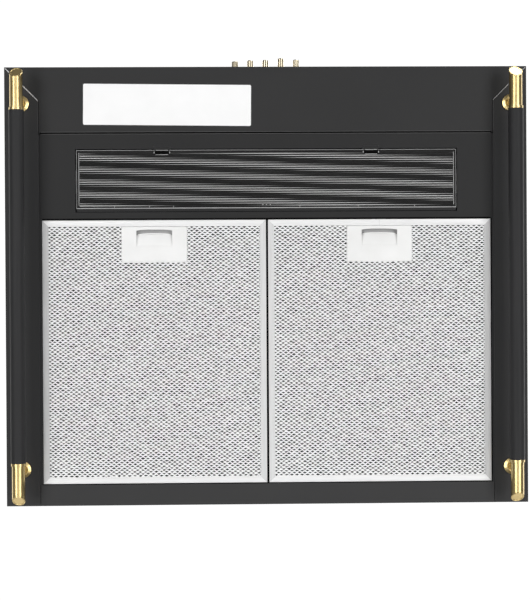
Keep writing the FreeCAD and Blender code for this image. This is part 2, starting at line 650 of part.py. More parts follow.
# Lamp panel: cut-out, lips, catch for the filters, ears for the cover's pins
def lamp_panel():
    half = f"({INNER_X} - metal - seam_gap)"
    base = wide_block("lamp_base", half, LAMP_FRONT, "0", "lamp_depth", "metal")
    front_lip = wide_block("lamp_front_lip", f"{half} - lip_inset", LAMP_FRONT, "0", "metal", "fold_lip")
    catch = wide_block("lamp_catch", f"{half} - lip_inset", f"{LAMP_REAR} - metal", "0", "metal", CATCH_TOP)
    cutout = wide_block(
        "lamp_cutout", f"{LENS_HALF} + lens_gap", f"{LENS_FRONT} - lens_gap", "-cut_over",
        "lens_depth + lens_gap + lens_rear_gap", "2*cut_over",
    )
    ears = [
        block(f"lamp_ear_{side}", x, f"{LENS_PIN_Y} - ear_half", "0", "metal", "2*ear_half",
              f"{LENS_PIN_Z} + ear_rise")
        for side, x in (("a", f"-{LENS_HALF} - lens_gap - 2*metal"), ("b", f"{LENS_HALF} + lens_gap + metal"))
    ]
    bore = rod(
        "lamp_ear_bore", "x", "pin_radius + fit", "2*rim_width", "-rim_width", LENS_PIN_Y, LENS_PIN_Z
    )
    ear_holes = keep(
        "lamp_ear_holes", bore,
        group("lamp_ear_zone", *[
            block(f"lamp_ear_zone_{i}", x, f"{LENS_PIN_Y} - ear_half", "metal", "4*metal", "2*ear_half",
                  "4*pin_radius")
            for i, x in enumerate((f"-{LENS_HALF} - lens_gap - 3*metal", f"{LENS_HALF} + lens_gap - metal"))
        ]),
    )
    screw_holes = group("lamp_lip_holes", *[
        rod(f"lamp_lip_hole_{i}", "y", "screw_hole", "3*metal", f"{i}*lip_screw_span",
            f"{LAMP_FRONT} - metal", "fold_lip - lip_screw_down")
        for i in (-1, 0, 1)
    ])
    notches = group("lamp_clip_notches", *[
        block(f"lamp_clip_notch_{i}", f"{i}*clip_span/2 - clip_width/2 - lens_gap",
              f"{LENS_FRONT} - clip_reach - lens_gap", "-cut_over",
              "clip_width + 2*lens_gap", "clip_reach + lens_gap", "2*cut_over")
        for i in (-1, 1)
    ])
    folded = take("lamp_cut", join("lamp_folded", base, front_lip, catch), cutout, notches)
    return take("lamp_panel", join("lamp_eared", folded, *ears), ear_holes, screw_holes)


# Lamp cover: ribbed plate with edge walls, clip tabs and two pivot pins
def lamp_cover():
    ribs = doc.addObject("PartDesign::Body", "lens_ribs")
    start = f"({LENS_FRONT} + lens_depth/2 - (rib_count - 1)*rib_pitch/2)"
    top = "-lens_drop + rib_root"
    foot = "(rib_pitch/2 - rib_groove/2)"
    crest = "-lens_drop - rib_height"
    backing = ribs.newObject("PartDesign::Pad", "rib_backing")
    backing.Profile = outline(ribs, "backing_outline", "YZ_Plane", rectangle(
        f"{LENS_FRONT} + rib_inset", "-lens_drop", f"{LENS_REAR} - lens_bevel - rib_inset",
        "-lens_drop + lens_thick"))
    backing.SideType = "Symmetric"
    bind(backing, Length=f"2*({LENS_HALF} - rib_inset)")
    rib = outline(ribs, "rib_outline", "YZ_Plane", [
        (f"{start} - {foot}", top), (f"{start} + {foot}", top),
        (f"{start} + rib_pitch/6", crest), (f"{start} - rib_pitch/6", crest),
    ])
    pad = ribs.newObject("PartDesign::Pad", "rib_pad")
    pad.Profile = rib
    pad.SideType = "Symmetric"
    bind(pad, Length=f"2*({LENS_HALF} - rib_end)")
    pattern = ribs.newObject("PartDesign::LinearPattern", "rib_rows")
    pattern.Originals = [pad]
    pattern.Direction = (rib, ["H_Axis"])
    pattern.Mode = "Spacing"
    bind(pattern, Offset="rib_pitch", Occurrences="rib_count")
    ribs.Tip = pattern
    plate = wide_block(
        "lens_plate", LENS_HALF, LENS_FRONT, "-lens_drop", "lens_depth", "lens_thick + lens_wall",
    )
    hollow = wide_block(
        "lens_hollow", f"{LENS_HALF} - lens_edge", f"{LENS_FRONT} + lens_edge", "-lens_drop + lens_thick",
        "lens_depth - 2*lens_edge", "lens_wall + cut_over",
    )
    bevel = taper(
        "lens_bevel", UPRIGHT, "0", "0", "-lens_drop - 0.01",
        Xmin="-rim_width", Xmax="rim_width", Ymin="0", Ymax="lens_bevel",
        Zmin=f"-({LENS_REAR}) - 0.02", Zmax=f"-({LENS_REAR}) + lens_bevel",
        X2min="-rim_width", X2max="rim_width", Z2min=f"-({LENS_REAR}) - 0.02", Z2max=f"-({LENS_REAR})",
    )
    tabs = [
        block(f"lens_clip_{i}", f"{i}*clip_span/2 - clip_width/2", f"{LENS_FRONT} - clip_reach",
              "-lens_drop", "clip_width", "clip_reach + lens_edge", "clip_height")
        for i in (-1, 1)
    ]
    pins = [
        rod(f"lens_pin_{side}", "x", "pin_radius", "lens_pin_out + lens_edge/2", x, LENS_PIN_Y, LENS_PIN_Z)
        for side, x in (("a", f"-{LENS_HALF} - lens_pin_out"), ("b", f"{LENS_HALF} - lens_edge/2"))
    ]
    shell = take("lens_shell", plate, hollow, bevel)
    return join("lamp_cover", shell, ribs, *tabs, *pins)


# Lamp tray with a resting flange, lamp holders and bulbs
TRAY_HALF = f"({LENS_HALF} + tray_side)"
TRAY_FRONT = f"({LENS_FRONT} - tray_front)"
TRAY_REAR = f"({LENS_REAR} + tray_rear)"
BULB_Y = f"({LENS_FRONT} + lens_depth/2)"
BULB_Z = "(metal + tray_height/2 + bulb_lift)"
HOLDER_X = f"(-{TRAY_HALF} + metal)"


def lamp_tray():
    depth = f"({TRAY_REAR} - {TRAY_FRONT})"
    outer = wide_block("tray_outer", TRAY_HALF, TRAY_FRONT, "metal", depth, "tray_height")
    hollow = wide_block(
        "tray_hollow", f"{TRAY_HALF} - metal", f"{TRAY_FRONT} + metal", "0",
        f"{depth} - 2*metal", "tray_height",
    )
    feet = [
        block(f"tray_foot_{side}", x, TRAY_FRONT, "metal", "tray_foot + metal", depth, "metal")
        for side, x in (("a", f"-{TRAY_HALF} - tray_foot"), ("b", f"{TRAY_HALF} - metal"))
    ]
    return join("lamp_tray", take("tray_shell", outer, hollow), *feet)


def lamp_holder():
    seat = rod("holder_seat", "x", "holder_radius", "holder_length", HOLDER_X, BULB_Y, BULB_Z)
    socket = rod(
        "holder_socket", "x", "bulb_base_radius + bulb_base_gap", "holder_length",
        f"{HOLDER_X} + holder_floor", BULB_Y, BULB_Z,
    )
    return take("left_lamp_holder", seat, socket)


def lamp_bulb():
    neck_x = f"{HOLDER_X} + holder_length + bulb_out"
    tip_x = f"{neck_x} + bulb_length - bulb_taper"
    base = rod(
        "bulb_base", "x", "bulb_base_radius", "holder_length + bulb_out - holder_floor",
        f"{HOLDER_X} + holder_floor + bulb_seat", BULB_Y, BULB_Z,
    )
    glass = rod(
        "bulb_glass", "x", "bulb_radius", "bulb_length - 2*bulb_taper", f"{neck_x} + bulb_taper",
        BULB_Y, BULB_Z,
    )
    neck = cone("bulb_neck", "bulb_neck_radius", "bulb_radius", "bulb_taper", neck_x, BULB_Y, BULB_Z, "x")
    tip = cone("bulb_tip", "bulb_radius", "bulb_tip_radius", "bulb_taper", tip_x, BULB_Y, BULB_Z, "x")
    return join("left_lamp_bulb", base, neck, glass, tip)


# Filter, left: folded frame with rear tabs, mesh pack, latch housing, latch slide, spring tongue
FILTER_X = f"(-filter_gap/2 - {FILTER_WIDTH})"
LATCH_X = f"(-filter_gap/2 - {FILTER_WIDTH}/2)"
HOUSING_FRONT = f"({FILTER_FRONT} + filter_lip + handle_gap)"
RECESS_FRONT = f"({FILTER_FRONT} + filter_lip + recess_inset)"
SLIDE_FRONT = f"({RECESS_FRONT} + finger_gap)"
SLIDE_REAR = f"({RECESS_FRONT} + recess_depth + slide_tail)"
HOUSING_TOP = "(filter_rise + filter_thick - handle_drop)"
TONGUE_SLOT_X = f"({LATCH_X} - tongue_width/2 - tongue_gap)"
TONGUE_SLOT_Z = f"({CATCH_TOP} - tongue_gap)"
TONGUE_SLOT = ("tongue_width + 2*tongue_gap", "tongue_thick + 2*tongue_gap")


def filter_frame():
    """The rear lower edge is rounded about the line that the filter turns on."""
    width, depth = FILTER_WIDTH, FILTER_DEPTH
    wall_z = "filter_rise + filter_wall"
    outer = block("frame_outer", FILTER_X, FILTER_FRONT, "filter_rise", width, depth, "filter_thick")
    hollow = block(
        "frame_hollow", f"{FILTER_X} + filter_wall", f"{FILTER_FRONT} + filter_wall", wall_z,
        f"{width} - 2*filter_wall", f"{depth} - 2*filter_wall", "filter_thick - 2*filter_wall",
    )
    window = block(
        "frame_window", f"{FILTER_X} + filter_lip", f"{FILTER_FRONT} + filter_lip", "filter_rise - cut_over",
        f"{width} - 2*filter_lip", f"{depth} - 2*filter_lip", "filter_thick + 2*cut_over",
    )
    slot_width, slot_height = TONGUE_SLOT
    slot = block(
        "frame_slot", TONGUE_SLOT_X, f"{FILTER_FRONT} - filter_wall", TONGUE_SLOT_Z, slot_width, "filter_lip",
        slot_height,
    )
    turn_y = f"({FILTER_REAR} - filter_wall)"
    corner = block("frame_corner", FILTER_X, turn_y, "filter_rise", width, "filter_wall", "filter_wall")
    edge = keep(
        "frame_edge", rod("frame_edge_rod", "x", "filter_wall", width, FILTER_X, turn_y, wall_z),
        block("frame_edge_zone", FILTER_X, turn_y, "filter_rise", width, "filter_wall", "filter_wall"),
    )
    tabs = [
        block(f"frame_tab_{i}", f"{LATCH_X} + {i}*tab_span/2 - tab_width/2", turn_y, "filter_rise + fit",
              "tab_width", "tab_length + filter_wall", "tab_thick")
        for i in (-1, 1)
    ]
    return join("left_filter_frame", take("frame_shell", outer, hollow, window, slot, corner), edge, *tabs)


def filter_mesh():
    inset = "(filter_wall + mesh_gap)"
    pack = block(
        "mesh_pack", f"{FILTER_X} + {inset}", f"{FILTER_FRONT} + {inset}", f"filter_rise + {inset}",
        f"{FILTER_WIDTH} - 2*{inset}", f"{FILTER_DEPTH} - 2*{inset}", f"filter_thick - 2*{inset}",
    )
    bay = block(
        "mesh_bay", f"{LATCH_X} - handle_width/2 - bay_gap", f"{FILTER_FRONT} - filter_wall",
        "filter_rise - cut_over", "handle_width + 2*bay_gap",
        "filter_wall + filter_lip + handle_depth + bay_gap", "filter_thick + 2*cut_over",
    )
    return take("left_filter_mesh", pack, bay)


def latch_housing():
    height = f"({HOUSING_TOP} - filter_rise)"
    outer = block(
        "housing_outer", f"{LATCH_X} - handle_width/2", HOUSING_FRONT, "filter_rise",
        "handle_width", "handle_depth - handle_gap", height,
    )
    hollow = block(
        "housing_hollow", f"{LATCH_X} - recess_width/2 - slide_room", f"{HOUSING_FRONT} + handle_skin",
        "filter_rise + handle_wall", "recess_width + 2*slide_room",
        "handle_depth - handle_gap - 2*handle_skin", f"{height} - 2*handle_wall",
    )
    window = block(
        "housing_window", f"{LATCH_X} - recess_width/2", RECESS_FRONT, "filter_rise - cut_over",
        "recess_width", "recess_depth", "cut_over + 2*handle_wall",
    )
    slot_width, slot_height = TONGUE_SLOT
    slot = block(
        "housing_slot", TONGUE_SLOT_X, f"{HOUSING_FRONT} - handle_skin", TONGUE_SLOT_Z, slot_width,
        "3*handle_skin", slot_height,
    )
    return take("left_latch_housing", outer, hollow, window, slot)


def latch_slide():
    """A slide whose underside ramps away from the finger gap."""
    low = "(filter_rise + handle_wall + slide_gap)"
    high = f"({CATCH_TOP} - slide_gap)"
    length = f"({SLIDE_REAR} - {SLIDE_FRONT})"
    solid = block(
        "slide_solid", f"{LATCH_X} - recess_width/2 - slide_wing", SLIDE_FRONT, low,
        "recess_width + 2*slide_wing", length, f"{high} - {low}",
    )
    ramp = taper(
        "slide_ramp", UPRIGHT, LATCH_X, SLIDE_FRONT, f"{low} - 0.01",
        Xmin="-recess_width", Xmax="recess_width", Ymin="0", Ymax="ramp_rise", Zmin=f"-({length} - slide_land)",
        Zmax="cut_over", X2min="-recess_width", X2max="recess_width", Z2min="0", Z2max="cut_over",
    )
    return take("left_latch_slide", solid, ramp)


def latch_tongue():
    """A flat spring strip on top of the slide, its end resting on the lamp panel's catch."""
    return block(
        "left_latch_tongue", f"{LATCH_X} - tongue_width/2", f"{LAMP_REAR} - tongue_hold", f"{CATCH_TOP} + fit",
        "tongue_width", f"{SLIDE_FRONT} - {LAMP_REAR} + tongue_hold + tongue_lap", "tongue_thick",
    )


# Push-buttons: turned brass caps with stems, each from its own outline
def push_button(number):
    body = doc.addObject("PartDesign::Body", f"push_button_{number}")
    reach = "metal + switch_back + stem_length"
    tip = f"-button_{number}_out"
    shoulder = "metal + button_shoulder"
    profile = outline(body, f"button_outline_{number}", "XY_Plane", [
        ("0", tip), ("button_radius - button_chamfer", tip), ("button_radius", f"{tip} + button_chamfer"),
        ("button_radius", shoulder), ("stem_radius", shoulder), ("stem_radius", reach), ("0", reach),
    ])
    turned = body.newObject("PartDesign::Revolution", f"button_turned_{number}")
    turned.Profile = profile
    turned.ReferenceAxis = (profile, ["V_Axis"])
    turned.Angle = 360
    body.Tip = turned
    return place(body, f"{number - 3}*button_pitch", "-rim_depth", BUTTON_Z)


def switch_block():
    body = wide_block(
        "switch_body", "2*button_pitch + switch_margin", SWITCH_FRONT, f"{BUTTON_Z} - switch_height/2",
        "switch_depth", "switch_height",
    )
    bores = [
        rod(f"switch_bore_{i}", "y", "stem_radius + button_gap",
            "metal + stem_length + button_travel + stem_spare", f"{i - 2}*button_pitch",
            f"{SWITCH_FRONT} - metal", BUTTON_Z)
        for i in range(5)
    ]
    return take("switch_block", body, group("switch_bores", *bores))


def switch_bracket():
    back = f"{SWITCH_FRONT} + switch_depth"
    upright = wide_block(
        "switch_upright", "2*button_pitch", back, "metal", "switch_plate",
        f"{BUTTON_Z} + switch_height/2 - metal",
    )
    foot = wide_block("switch_base", "2*button_pitch", back, "metal", "switch_foot", "switch_plate")
    return join("switch_bracket", upright, foot)


# Rail on the left: grip tube, brass ends with slanted tips, posts and rosettes
GRIP_FRONT = f"({RAIL_FRONT} + end_length)"


def rail_grip():
    length = "rim_depth - 2*rail_end_inset - 2*end_length"
    tube = rod("grip_tube", "y", "rail_radius", length, f"-{RAIL_X}", GRIP_FRONT, "-rail_drop")
    bore = rod(
        "grip_bore", "y", "spigot_radius + spigot_gap", f"{length} + 2*cut_over", f"-{RAIL_X}",
        f"{GRIP_FRONT} - cut_over", "-rail_drop",
    )
    return take("left_rail_grip", tube, bore)


def rail_front_end():
    x, z = f"-{RAIL_X}", "-rail_drop"
    ring_y = f"{GRIP_FRONT} - end_ring"
    sleeve = rod("end_sleeve", "y", "end_radius", "end_length", x, RAIL_FRONT, z)
    ring = rod("end_ring_piece", "y", "end_ring_radius", "end_ring", x, ring_y, z)
    spigot = rod("end_spigot", "y", "spigot_radius", "end_ring + spigot_length", x, ring_y, z)
    slant = taper(
        "end_slant_cut", UPRIGHT, x, RAIL_FRONT, f"{z} - end_radius - slant_over",
        Xmin="-2*end_radius", Xmax="2*end_radius", Ymin="0", Ymax="2*end_radius + 2*slant_over",
        Zmin="-end_slant", Zmax="cut_over", X2min="-2*end_radius", X2max="2*end_radius",
        Z2min="0", Z2max="cut_over",
    )
    hole = rod(
        "end_post_hole", "z", "post_radius + fit", "2*end_ring_radius", x, "-rim_depth + post_inset",
        f"{z} + post_seat",
    )
    return take("left_rail_front_end", join("end_turned", sleeve, ring, spigot), slant, hole)


def rail_post(name, x, y):
    shaft = rod(f"{name}_shaft", "z", "post_radius", "rail_drop - post_seat", x, y, "-rail_drop + post_seat")
    bore = rod(f"{name}_bore", "z", "rail_screw_radius + fit", "post_bore + metal", x, y, "-post_bore")
    return take(name, shaft, bore)


def rosette(name, x, y):
    half = "rosette_height/2"
    disc = rod(f"{name}_disc", "z", "rosette_radius", half, x, y, f"-{half}")
    dome = cone(
        f"{name}_dome", "rosette_radius - rosette_slope", "rosette_radius", half, x, y, "-rosette_height",
    )
    bore = rod(f"{name}_bore", "z", "post_radius + fit", "2*cut_over", x, y, "-cut_over")
    return take(name, join(f"{name}_solid", disc, dome), bore)


# Blower: plate, casing halves, impeller, motor, shaft, bracket, guard
OUTLET_FRONT = f"({OUTLET_Y} - outlet_depth/2)"


def blower_plate():
    base = wide_block(
        "plate_base", "chimney_width/2 - plate_margin", "-chimney_depth + plate_margin",
        f"{PLATE_TOP} - plate", "chimney_depth - plate_margin - metal", "plate",
    )
    cutout = wide_block(
        "plate_cutout", "casing_width/2 + plate_gap", f"{OUTLET_FRONT} - plate_gap", f"{PLATE_TOP} - cut_over",
        "outlet_depth + 2*plate_gap", "2*cut_over",
    )
    return take("blower_plate", base, cutout, group("plate_holes", *outlet_holes("plate")))


OUTLET_SCREWS = [
    (f"{i}*(casing_width/2 + outlet_rim/2)", f"{OUTLET_Y} + {k}*(outlet_depth/2 + outlet_rim/2)")
    for i in (-1, 1) for k in (-1, 1)
]


def outlet_holes(name):
    return [
        rod(f"{name}_screw_hole_{i}", "z", "screw_hole", "4*cut_over", x, y, f"{PLATE_TOP} - 2*cut_over")
        for i, (x, y) in enumerate(OUTLET_SCREWS)
    ]


def casing_half(name, sign):
    """Half of the scroll: drum and tangent outlet, with a flange that hangs on the plate."""
    half = "casing_width/2"
    start = f"-{half}" if sign < 0 else "0"
    hollow_from = f"-{half} + casing_wall" if sign < 0 else "-casing_wall"
    drum = rod(f"{name}_drum", "x", "casing_radius", half, start, FAN_Y, FAN_Z)
    duct = block(
        f"{name}_duct", start, OUTLET_FRONT, FAN_Z, half, "outlet_depth", f"{COLLAR_BASE} - {FAN_Z}",
    )
    rim_x = f"-{half} - outlet_rim" if sign < 0 else "0"
    rim = block(
        f"{name}_rim", rim_x, f"{OUTLET_FRONT} - outlet_rim", PLATE_TOP, f"{half} + outlet_rim",
        "outlet_depth + 2*outlet_rim", "casing_wall",
    )
    drum_hollow = rod(
        f"{name}_drum_hollow", "x", "casing_radius - casing_wall", half, hollow_from, FAN_Y, FAN_Z
    )
    duct_hollow = block(
        f"{name}_duct_hollow", hollow_from, f"{OUTLET_FRONT} + casing_wall", FAN_Z, half,
        "outlet_depth - 2*casing_wall", f"{COLLAR_BASE} - {FAN_Z} + cut_over",
    )
    inlet = rod(
        f"{name}_inlet", "x", "inlet_radius", "casing_width + 2*cut_over", f"-{half} - cut_over", FAN_Y, FAN_Z,
    )
    return take(
        name, join(f"{name}_solid", drum, duct, rim), drum_hollow, duct_hollow, inlet,
        group(f"{name}_holes", *outlet_holes(name)),
    )


def impeller():
    body = doc.addObject("PartDesign::Body", "impeller_cage")
    disc = outline(body, "hub_outline", "YZ_Plane", [
        (f"fan_radius*cos({a})", f"fan_radius*sin({a})") for a in range(0, 360, 10)
    ])
    hub = body.newObject("PartDesign::Pad", "hub_disc")
    hub.Profile = disc
    hub.SideType = "Symmetric"
    bind(hub, Length="hub_thick")
    blade = outline(body, "blade_outline", "YZ_Plane", rectangle(
        "fan_radius - blade_depth", "-blade_thick/2", "fan_radius - blade_inset", "blade_thick/2"))
    pad = body.newObject("PartDesign::Pad", "blade_pad")
    pad.Profile = blade
    pad.SideType = "Symmetric"
    bind(pad, Length="fan_width")
    pattern = body.newObject("PartDesign::PolarPattern", "blade_ring")
    pattern.Originals = [pad]
    pattern.Axis = (blade, ["N_Axis"])
    pattern.Angle = 360
    bind(pattern, Occurrences="blade_count")
    body.Tip = pattern
    place(body, "0", FAN_Y, FAN_Z)
    pieces = [body, rod("fan_boss", "x", "boss_radius", "boss_length", "-boss_back", FAN_Y, FAN_Z)]
    for side, x in (("a", "-fan_width/2"), ("b", "fan_width/2 - fan_ring")):
        band = rod(f"fan_band_{side}", "x", "fan_radius", "fan_ring", x, FAN_Y, FAN_Z)
        inside = rod(
            f"fan_band_inside_{side}", "x", "fan_radius - blade_depth", "fan_ring + 2*cut_over",
            f"{x} - cut_over", FAN_Y, FAN_Z,
        )
        pieces.append(take(f"fan_ring_{side}", band, inside))
    bore = rod("fan_bore", "x", "shaft_radius", "2*boss_length", "-boss_length", FAN_Y, FAN_Z)
    return take("impeller", join("impeller_solid", *pieces), bore)


def motor():
    can = rod("motor_can", "x", "motor_radius", "casing_width/2 - motor_start", "motor_start", FAN_Y, FAN_Z)
    bore = rod("motor_bore", "x", "shaft_radius + fit", "casing_width", "0", FAN_Y, FAN_Z)
    return take("motor", can, bore)


def motor_bracket():
    """A ring around the motor's end and three arms on the casing's side."""
    ring = rod(
        "mount_ring", "x", "motor_radius + mount_rim", "mount_depth", "casing_width/2 - mount_lap",
        FAN_Y, FAN_Z,
    )
    arms = []
    for index in range(3):
        arm = block(
            f"mount_arm_{index}", "casing_width/2", "-mount_arm/2", "motor_radius", "mount_arm_thick",
            "mount_arm", "inlet_radius - motor_radius + mount_arm_lap",
        )
        turned = group(f"mount_arm_turned_{index}", arm)
        place(turned, "0", FAN_Y, FAN_Z, FreeCAD.Rotation(FreeCAD.Vector(1, 0, 0), 60 + 120 * index))
        arms.append(turned)
    hollow = rod(
        "mount_hollow", "x", "motor_radius + mount_gap", "4*cut_over", "casing_width/2 - 2*cut_over",
        FAN_Y, FAN_Z,
    )
    return take("motor_bracket", join("mount_solid", ring, *arms), hollow)


def inlet_guard():
    """Rings and spokes over the open inlet."""
    x = "-casing_width/2 - guard_thick"
    reach = "(inlet_radius + guard_lap - guard_rim/2)"
    pieces = []
    for index, (outer, wall) in enumerate((
        ("inlet_radius + guard_lap", "guard_rim"), ("guard_middle", "guard_bar"), ("guard_inner", "guard_bar"),
    )):
        disc = rod(f"guard_disc_{index}", "x", outer, "guard_thick", x, FAN_Y, FAN_Z)
        hole = rod(
            f"guard_hole_{index}", "x", f"{outer} - {wall}", "guard_thick + 2*cut_over", f"{x} - cut_over",
            FAN_Y, FAN_Z,
        )
        pieces.append(take(f"guard_ring_{index}", disc, hole))
    pieces.append(block(
        "guard_spoke_y", x, f"{FAN_Y} - {reach}", f"{FAN_Z} - guard_bar/2", "guard_thick",
        f"2*{reach}", "guard_bar",
    ))
    pieces.append(block(
        "guard_spoke_z", x, f"{FAN_Y} - guard_bar/2", f"{FAN_Z} - {reach}", "guard_thick",
        "guard_bar", f"2*{reach}",
    ))
    return join("inlet_guard", *pieces)


# Outlet collar with its pivot holes and two damper flaps
def outlet_collar():
    foot = wide_block(
        "collar_foot", "casing_width/2 + outlet_rim", f"{OUTLET_FRONT} - outlet_rim", COLLAR_BASE,
        "outlet_depth + 2*outlet_rim", "casing_wall",
    )
    wall = rod("collar_wall", "z", "duct_radius", "collar_height + casing_wall", "0", OUTLET_Y, COLLAR_BASE)
    bore = rod(
        "collar_bore", "z", "duct_radius - collar_step", "collar_height + 2*cut_over", "0", OUTLET_Y,
        f"{COLLAR_BASE} - cut_over",
    )
    upper = rod(
        "collar_upper_bore", "z", "duct_radius - casing_wall", "collar_height + 2*cut_over", "0", OUTLET_Y,
        f"{FLAP_Z} - flap_room",
    )
    pivots = group("collar_pivots", *[
        rod(f"collar_pivot_{i}", "x", "pin_radius + fit", "4*duct_radius", "-2*duct_radius",
            f"{OUTLET_Y} + {i}*flap_offset", FLAP_Z)
        for i in (-1, 1)
    ])
    return take("outlet_collar", join("collar_solid", foot, wall), bore, upper, pivots,
                group("collar_holes", *outlet_holes("collar")))


def damper_flap(name, sign):
    """Half a disc on a barrel with a pin at each end."""
    line = f"{OUTLET_Y} + {sign}*flap_offset"
    disc = rod(
        f"{name}_disc", "z", "duct_radius - casing_wall - flap_gap", "flap_thick", "0", OUTLET_Y,
        f"{FLAP_Z} - flap_thick/2",
    )
    side_y = f"{line} - 2*duct_radius" if sign < 0 else line
    side = wide_block(
        f"{name}_side", "2*duct_radius", side_y, f"{FLAP_Z} - cut_over", "2*duct_radius", "2*cut_over",
    )
    half = keep(f"{name}_half", disc, side)
    reach = "(duct_radius - flap_barrel_in)"
    pin_reach = "(duct_radius - flap_pin_in)"
    barrel = rod(f"{name}_barrel", "x", "flap_barrel", f"2*{reach}", f"-{reach}", line, FLAP_Z)
    pin = rod(f"{name}_pin", "x", "pin_radius", f"2*{pin_reach}", f"-{pin_reach}", line, FLAP_Z)
    return join(name, half, barrel, pin)


# Electrics above the plate: junction box, lid, gland, capacitor and its strap
BOX_REAR = "(-metal - slip_gap - box_back)"
BOX_TOP = f"({PLATE_TOP} + box_height)"
GLAND_X = "(box_side + box_width/2)"
GLAND_Y = f"({BOX_REAR} - box_depth/2)"
CAP_Y = f"({BOX_REAR} - cap_radius - cap_clear)"
CAP_Z = f"({PLATE_TOP} + cap_radius + cap_clear)"


def junction_box():
    outer = block(
        "box_outer", "box_side", f"{BOX_REAR} - box_depth", PLATE_TOP, "box_width", "box_depth", "box_height",
    )
    hollow = block(
        "box_hollow", "box_side + box_wall", f"{BOX_REAR} - box_depth - box_wall", f"{PLATE_TOP} + box_wall",
        "box_width - 2*box_wall", "box_depth", "box_height - 2*box_wall",
    )
    hole = rod(
        "box_hole", "z", "gland_bore + gland_wall + gland_gap", "4*box_wall", GLAND_X, GLAND_Y,
        f"{BOX_TOP} - 2*box_wall",
    )
    return take("junction_box", outer, hollow, hole)


def junction_lid():
    return block(
        "junction_lid", "box_side", f"{BOX_REAR} - box_depth - lid_thick", PLATE_TOP, "box_width", "lid_thick",
        "box_height",
    )


def cable_gland():
    nut = rod("gland_nut", "z", "gland_radius", "gland_height", GLAND_X, GLAND_Y, BOX_TOP)
    neck = rod(
        "gland_neck_piece", "z", "gland_bore + gland_wall", "gland_neck", GLAND_X, GLAND_Y,
        f"{BOX_TOP} - gland_neck",
    )
    bore = rod(
        "gland_bore_cut", "z", "gland_bore", "gland_neck + gland_height + 2*cut_over", GLAND_X, GLAND_Y,
        f"{BOX_TOP} - gland_neck - cut_over",
    )
    return take("cable_gland", join("gland_solid", nut, neck), bore)


def capacitor():
    return rod("capacitor", "x", "cap_radius", "cap_length", "-box_side - cap_length", CAP_Y, CAP_Z)


def capacitor_clip():
    x = "-box_side - cap_length/2 - strap_width/2"
    band = rod("strap_band", "x", "cap_radius + strap_wall", "strap_width", x, CAP_Y, CAP_Z)
    foot = block(
        "strap_base", x, f"{CAP_Y} - strap_foot/2", PLATE_TOP, "strap_width", "strap_foot", "strap_foot_height",
    )
    hole = rod(
        "strap_hole", "x", "cap_radius + cap_gap", "strap_width + 2*cut_over", f"{x} - cut_over", CAP_Y, CAP_Z,
    )
    return take("capacitor_clip", join("strap_solid", band, foot), hole)


# All sub-parts, in the order they go together
node("front_panel", front_panel())
both_sides("side_panel", left_side_panel())
node("back_panel", back_panel())
node("canopy", canopy())
node("lamp_panel", lamp_panel())
node("lamp_cover", lamp_cover())
node("lamp_tray", lamp_tray())
both_sides("lamp_holder", lamp_holder())
both_sides("lamp_bulb", lamp_bulb())
for build_piece in (filter_frame, filter_mesh, latch_housing, latch_slide, latch_tongue):
    piece = build_piece()
    both_sides(piece.Name[len("left_"):], piece)
for number in range(1, 6):
    node(f"push_button_{number}", push_button(number))
node("switch_block", switch_block())
node("switch_bracket", switch_bracket())
both_sides("rail_grip", rail_grip())
front_end = rail_front_end()
both_sides("rail_front_end", front_end)
both_sides("rail_rear_end", mirror("left_rail_rear_end", front_end, (0, 1, 0), "-rim_depth/2"))
POSTS = [(x, y) for x in (f"-{RAIL_X}", RAIL_X) for y in ("-rim_depth + post_inset", "-post_inset")]
node("rail_posts", group("rail_posts", *[
    rail_post(f"post_{i}", x, y) for i, (x, y) in enumerate(POSTS)
]))
node("rail_rosettes", group("rail_rosettes", *[
    rosette(f"rosette_{i}", x, y) for i, (x, y) in enumerate(POSTS)
]))
node("rail_screws", group("rail_screws", *[
    screw(f"rail_screw_{i}", "z", 1, x, y, "metal", "metal + rail_screw_length", "rail_screw_radius",
          "rail_screw_head")
    for i, (x, y) in enumerate(POSTS)
]))
node("blower_plate", blower_plate())
node("left_casing", casing_half("left_casing", -1))
node("right_casing", casing_half("right_casing", 1))
node("impeller", impeller())
node("motor", motor())
node("motor_shaft", rod(
    "motor_shaft", "x", "shaft_radius", "casing_width/2 + shaft_tail - shaft_in", "-shaft_tail", FAN_Y, FAN_Z,
))
node("motor_bracket", motor_bracket())
node("inlet_guard", inlet_guard())
node("outlet_collar", outlet_collar())
node("front_flap", damper_flap("front_flap", -1))
node("rear_flap", damper_flap("rear_flap", 1))
node("junction_box", junction_box())
node("junction_lid", junction_lid())
node("cable_gland", cable_gland())
node("capacitor", capacitor())
node("capacitor_clip", capacitor_clip())
node("lower_chimney", lower_chimney())
node("upper_chimney", upper_chimney())
node("chimney_bracket", chimney_bracket())
node("bracket_screws", group("bracket_screws", *[
    screw(f"bracket_screw_{i}", "x", i, f"{i}*{UPPER_HALF}", "-bracket_screw_back",
          f"{UPPER_TOP} - bracket_screw_down", "bracket_screw_length")
    for i in (-1, 1)
]))
body_screws = [
    screw(f"blower_screw_{i}", "z", 1, x, y, COLLAR_FOOT, "2*casing_wall + plate + blower_screw_end")
    for i, (x, y) in enumerate(OUTLET_SCREWS)
]
body_screws += [
    screw(f"chimney_screw_{i}", "x", i, f"{i}*chimney_width/2", "-chimney_depth/2",
          f"{CANOPY_TOP} + upstand/2", "panel_screw_length")
    for i in (-1, 1)
]
body_screws += [
    screw(f"panel_screw_{i}", "y", -1, f"{i}*lip_screw_span", "-rim_depth + front_flange - metal",
          "fold_lip - lip_screw_down", "panel_screw_length")
    for i in (-1, 0, 1)
]
node("body_screws", group("body_screws", *body_screws))

doc.recompute()

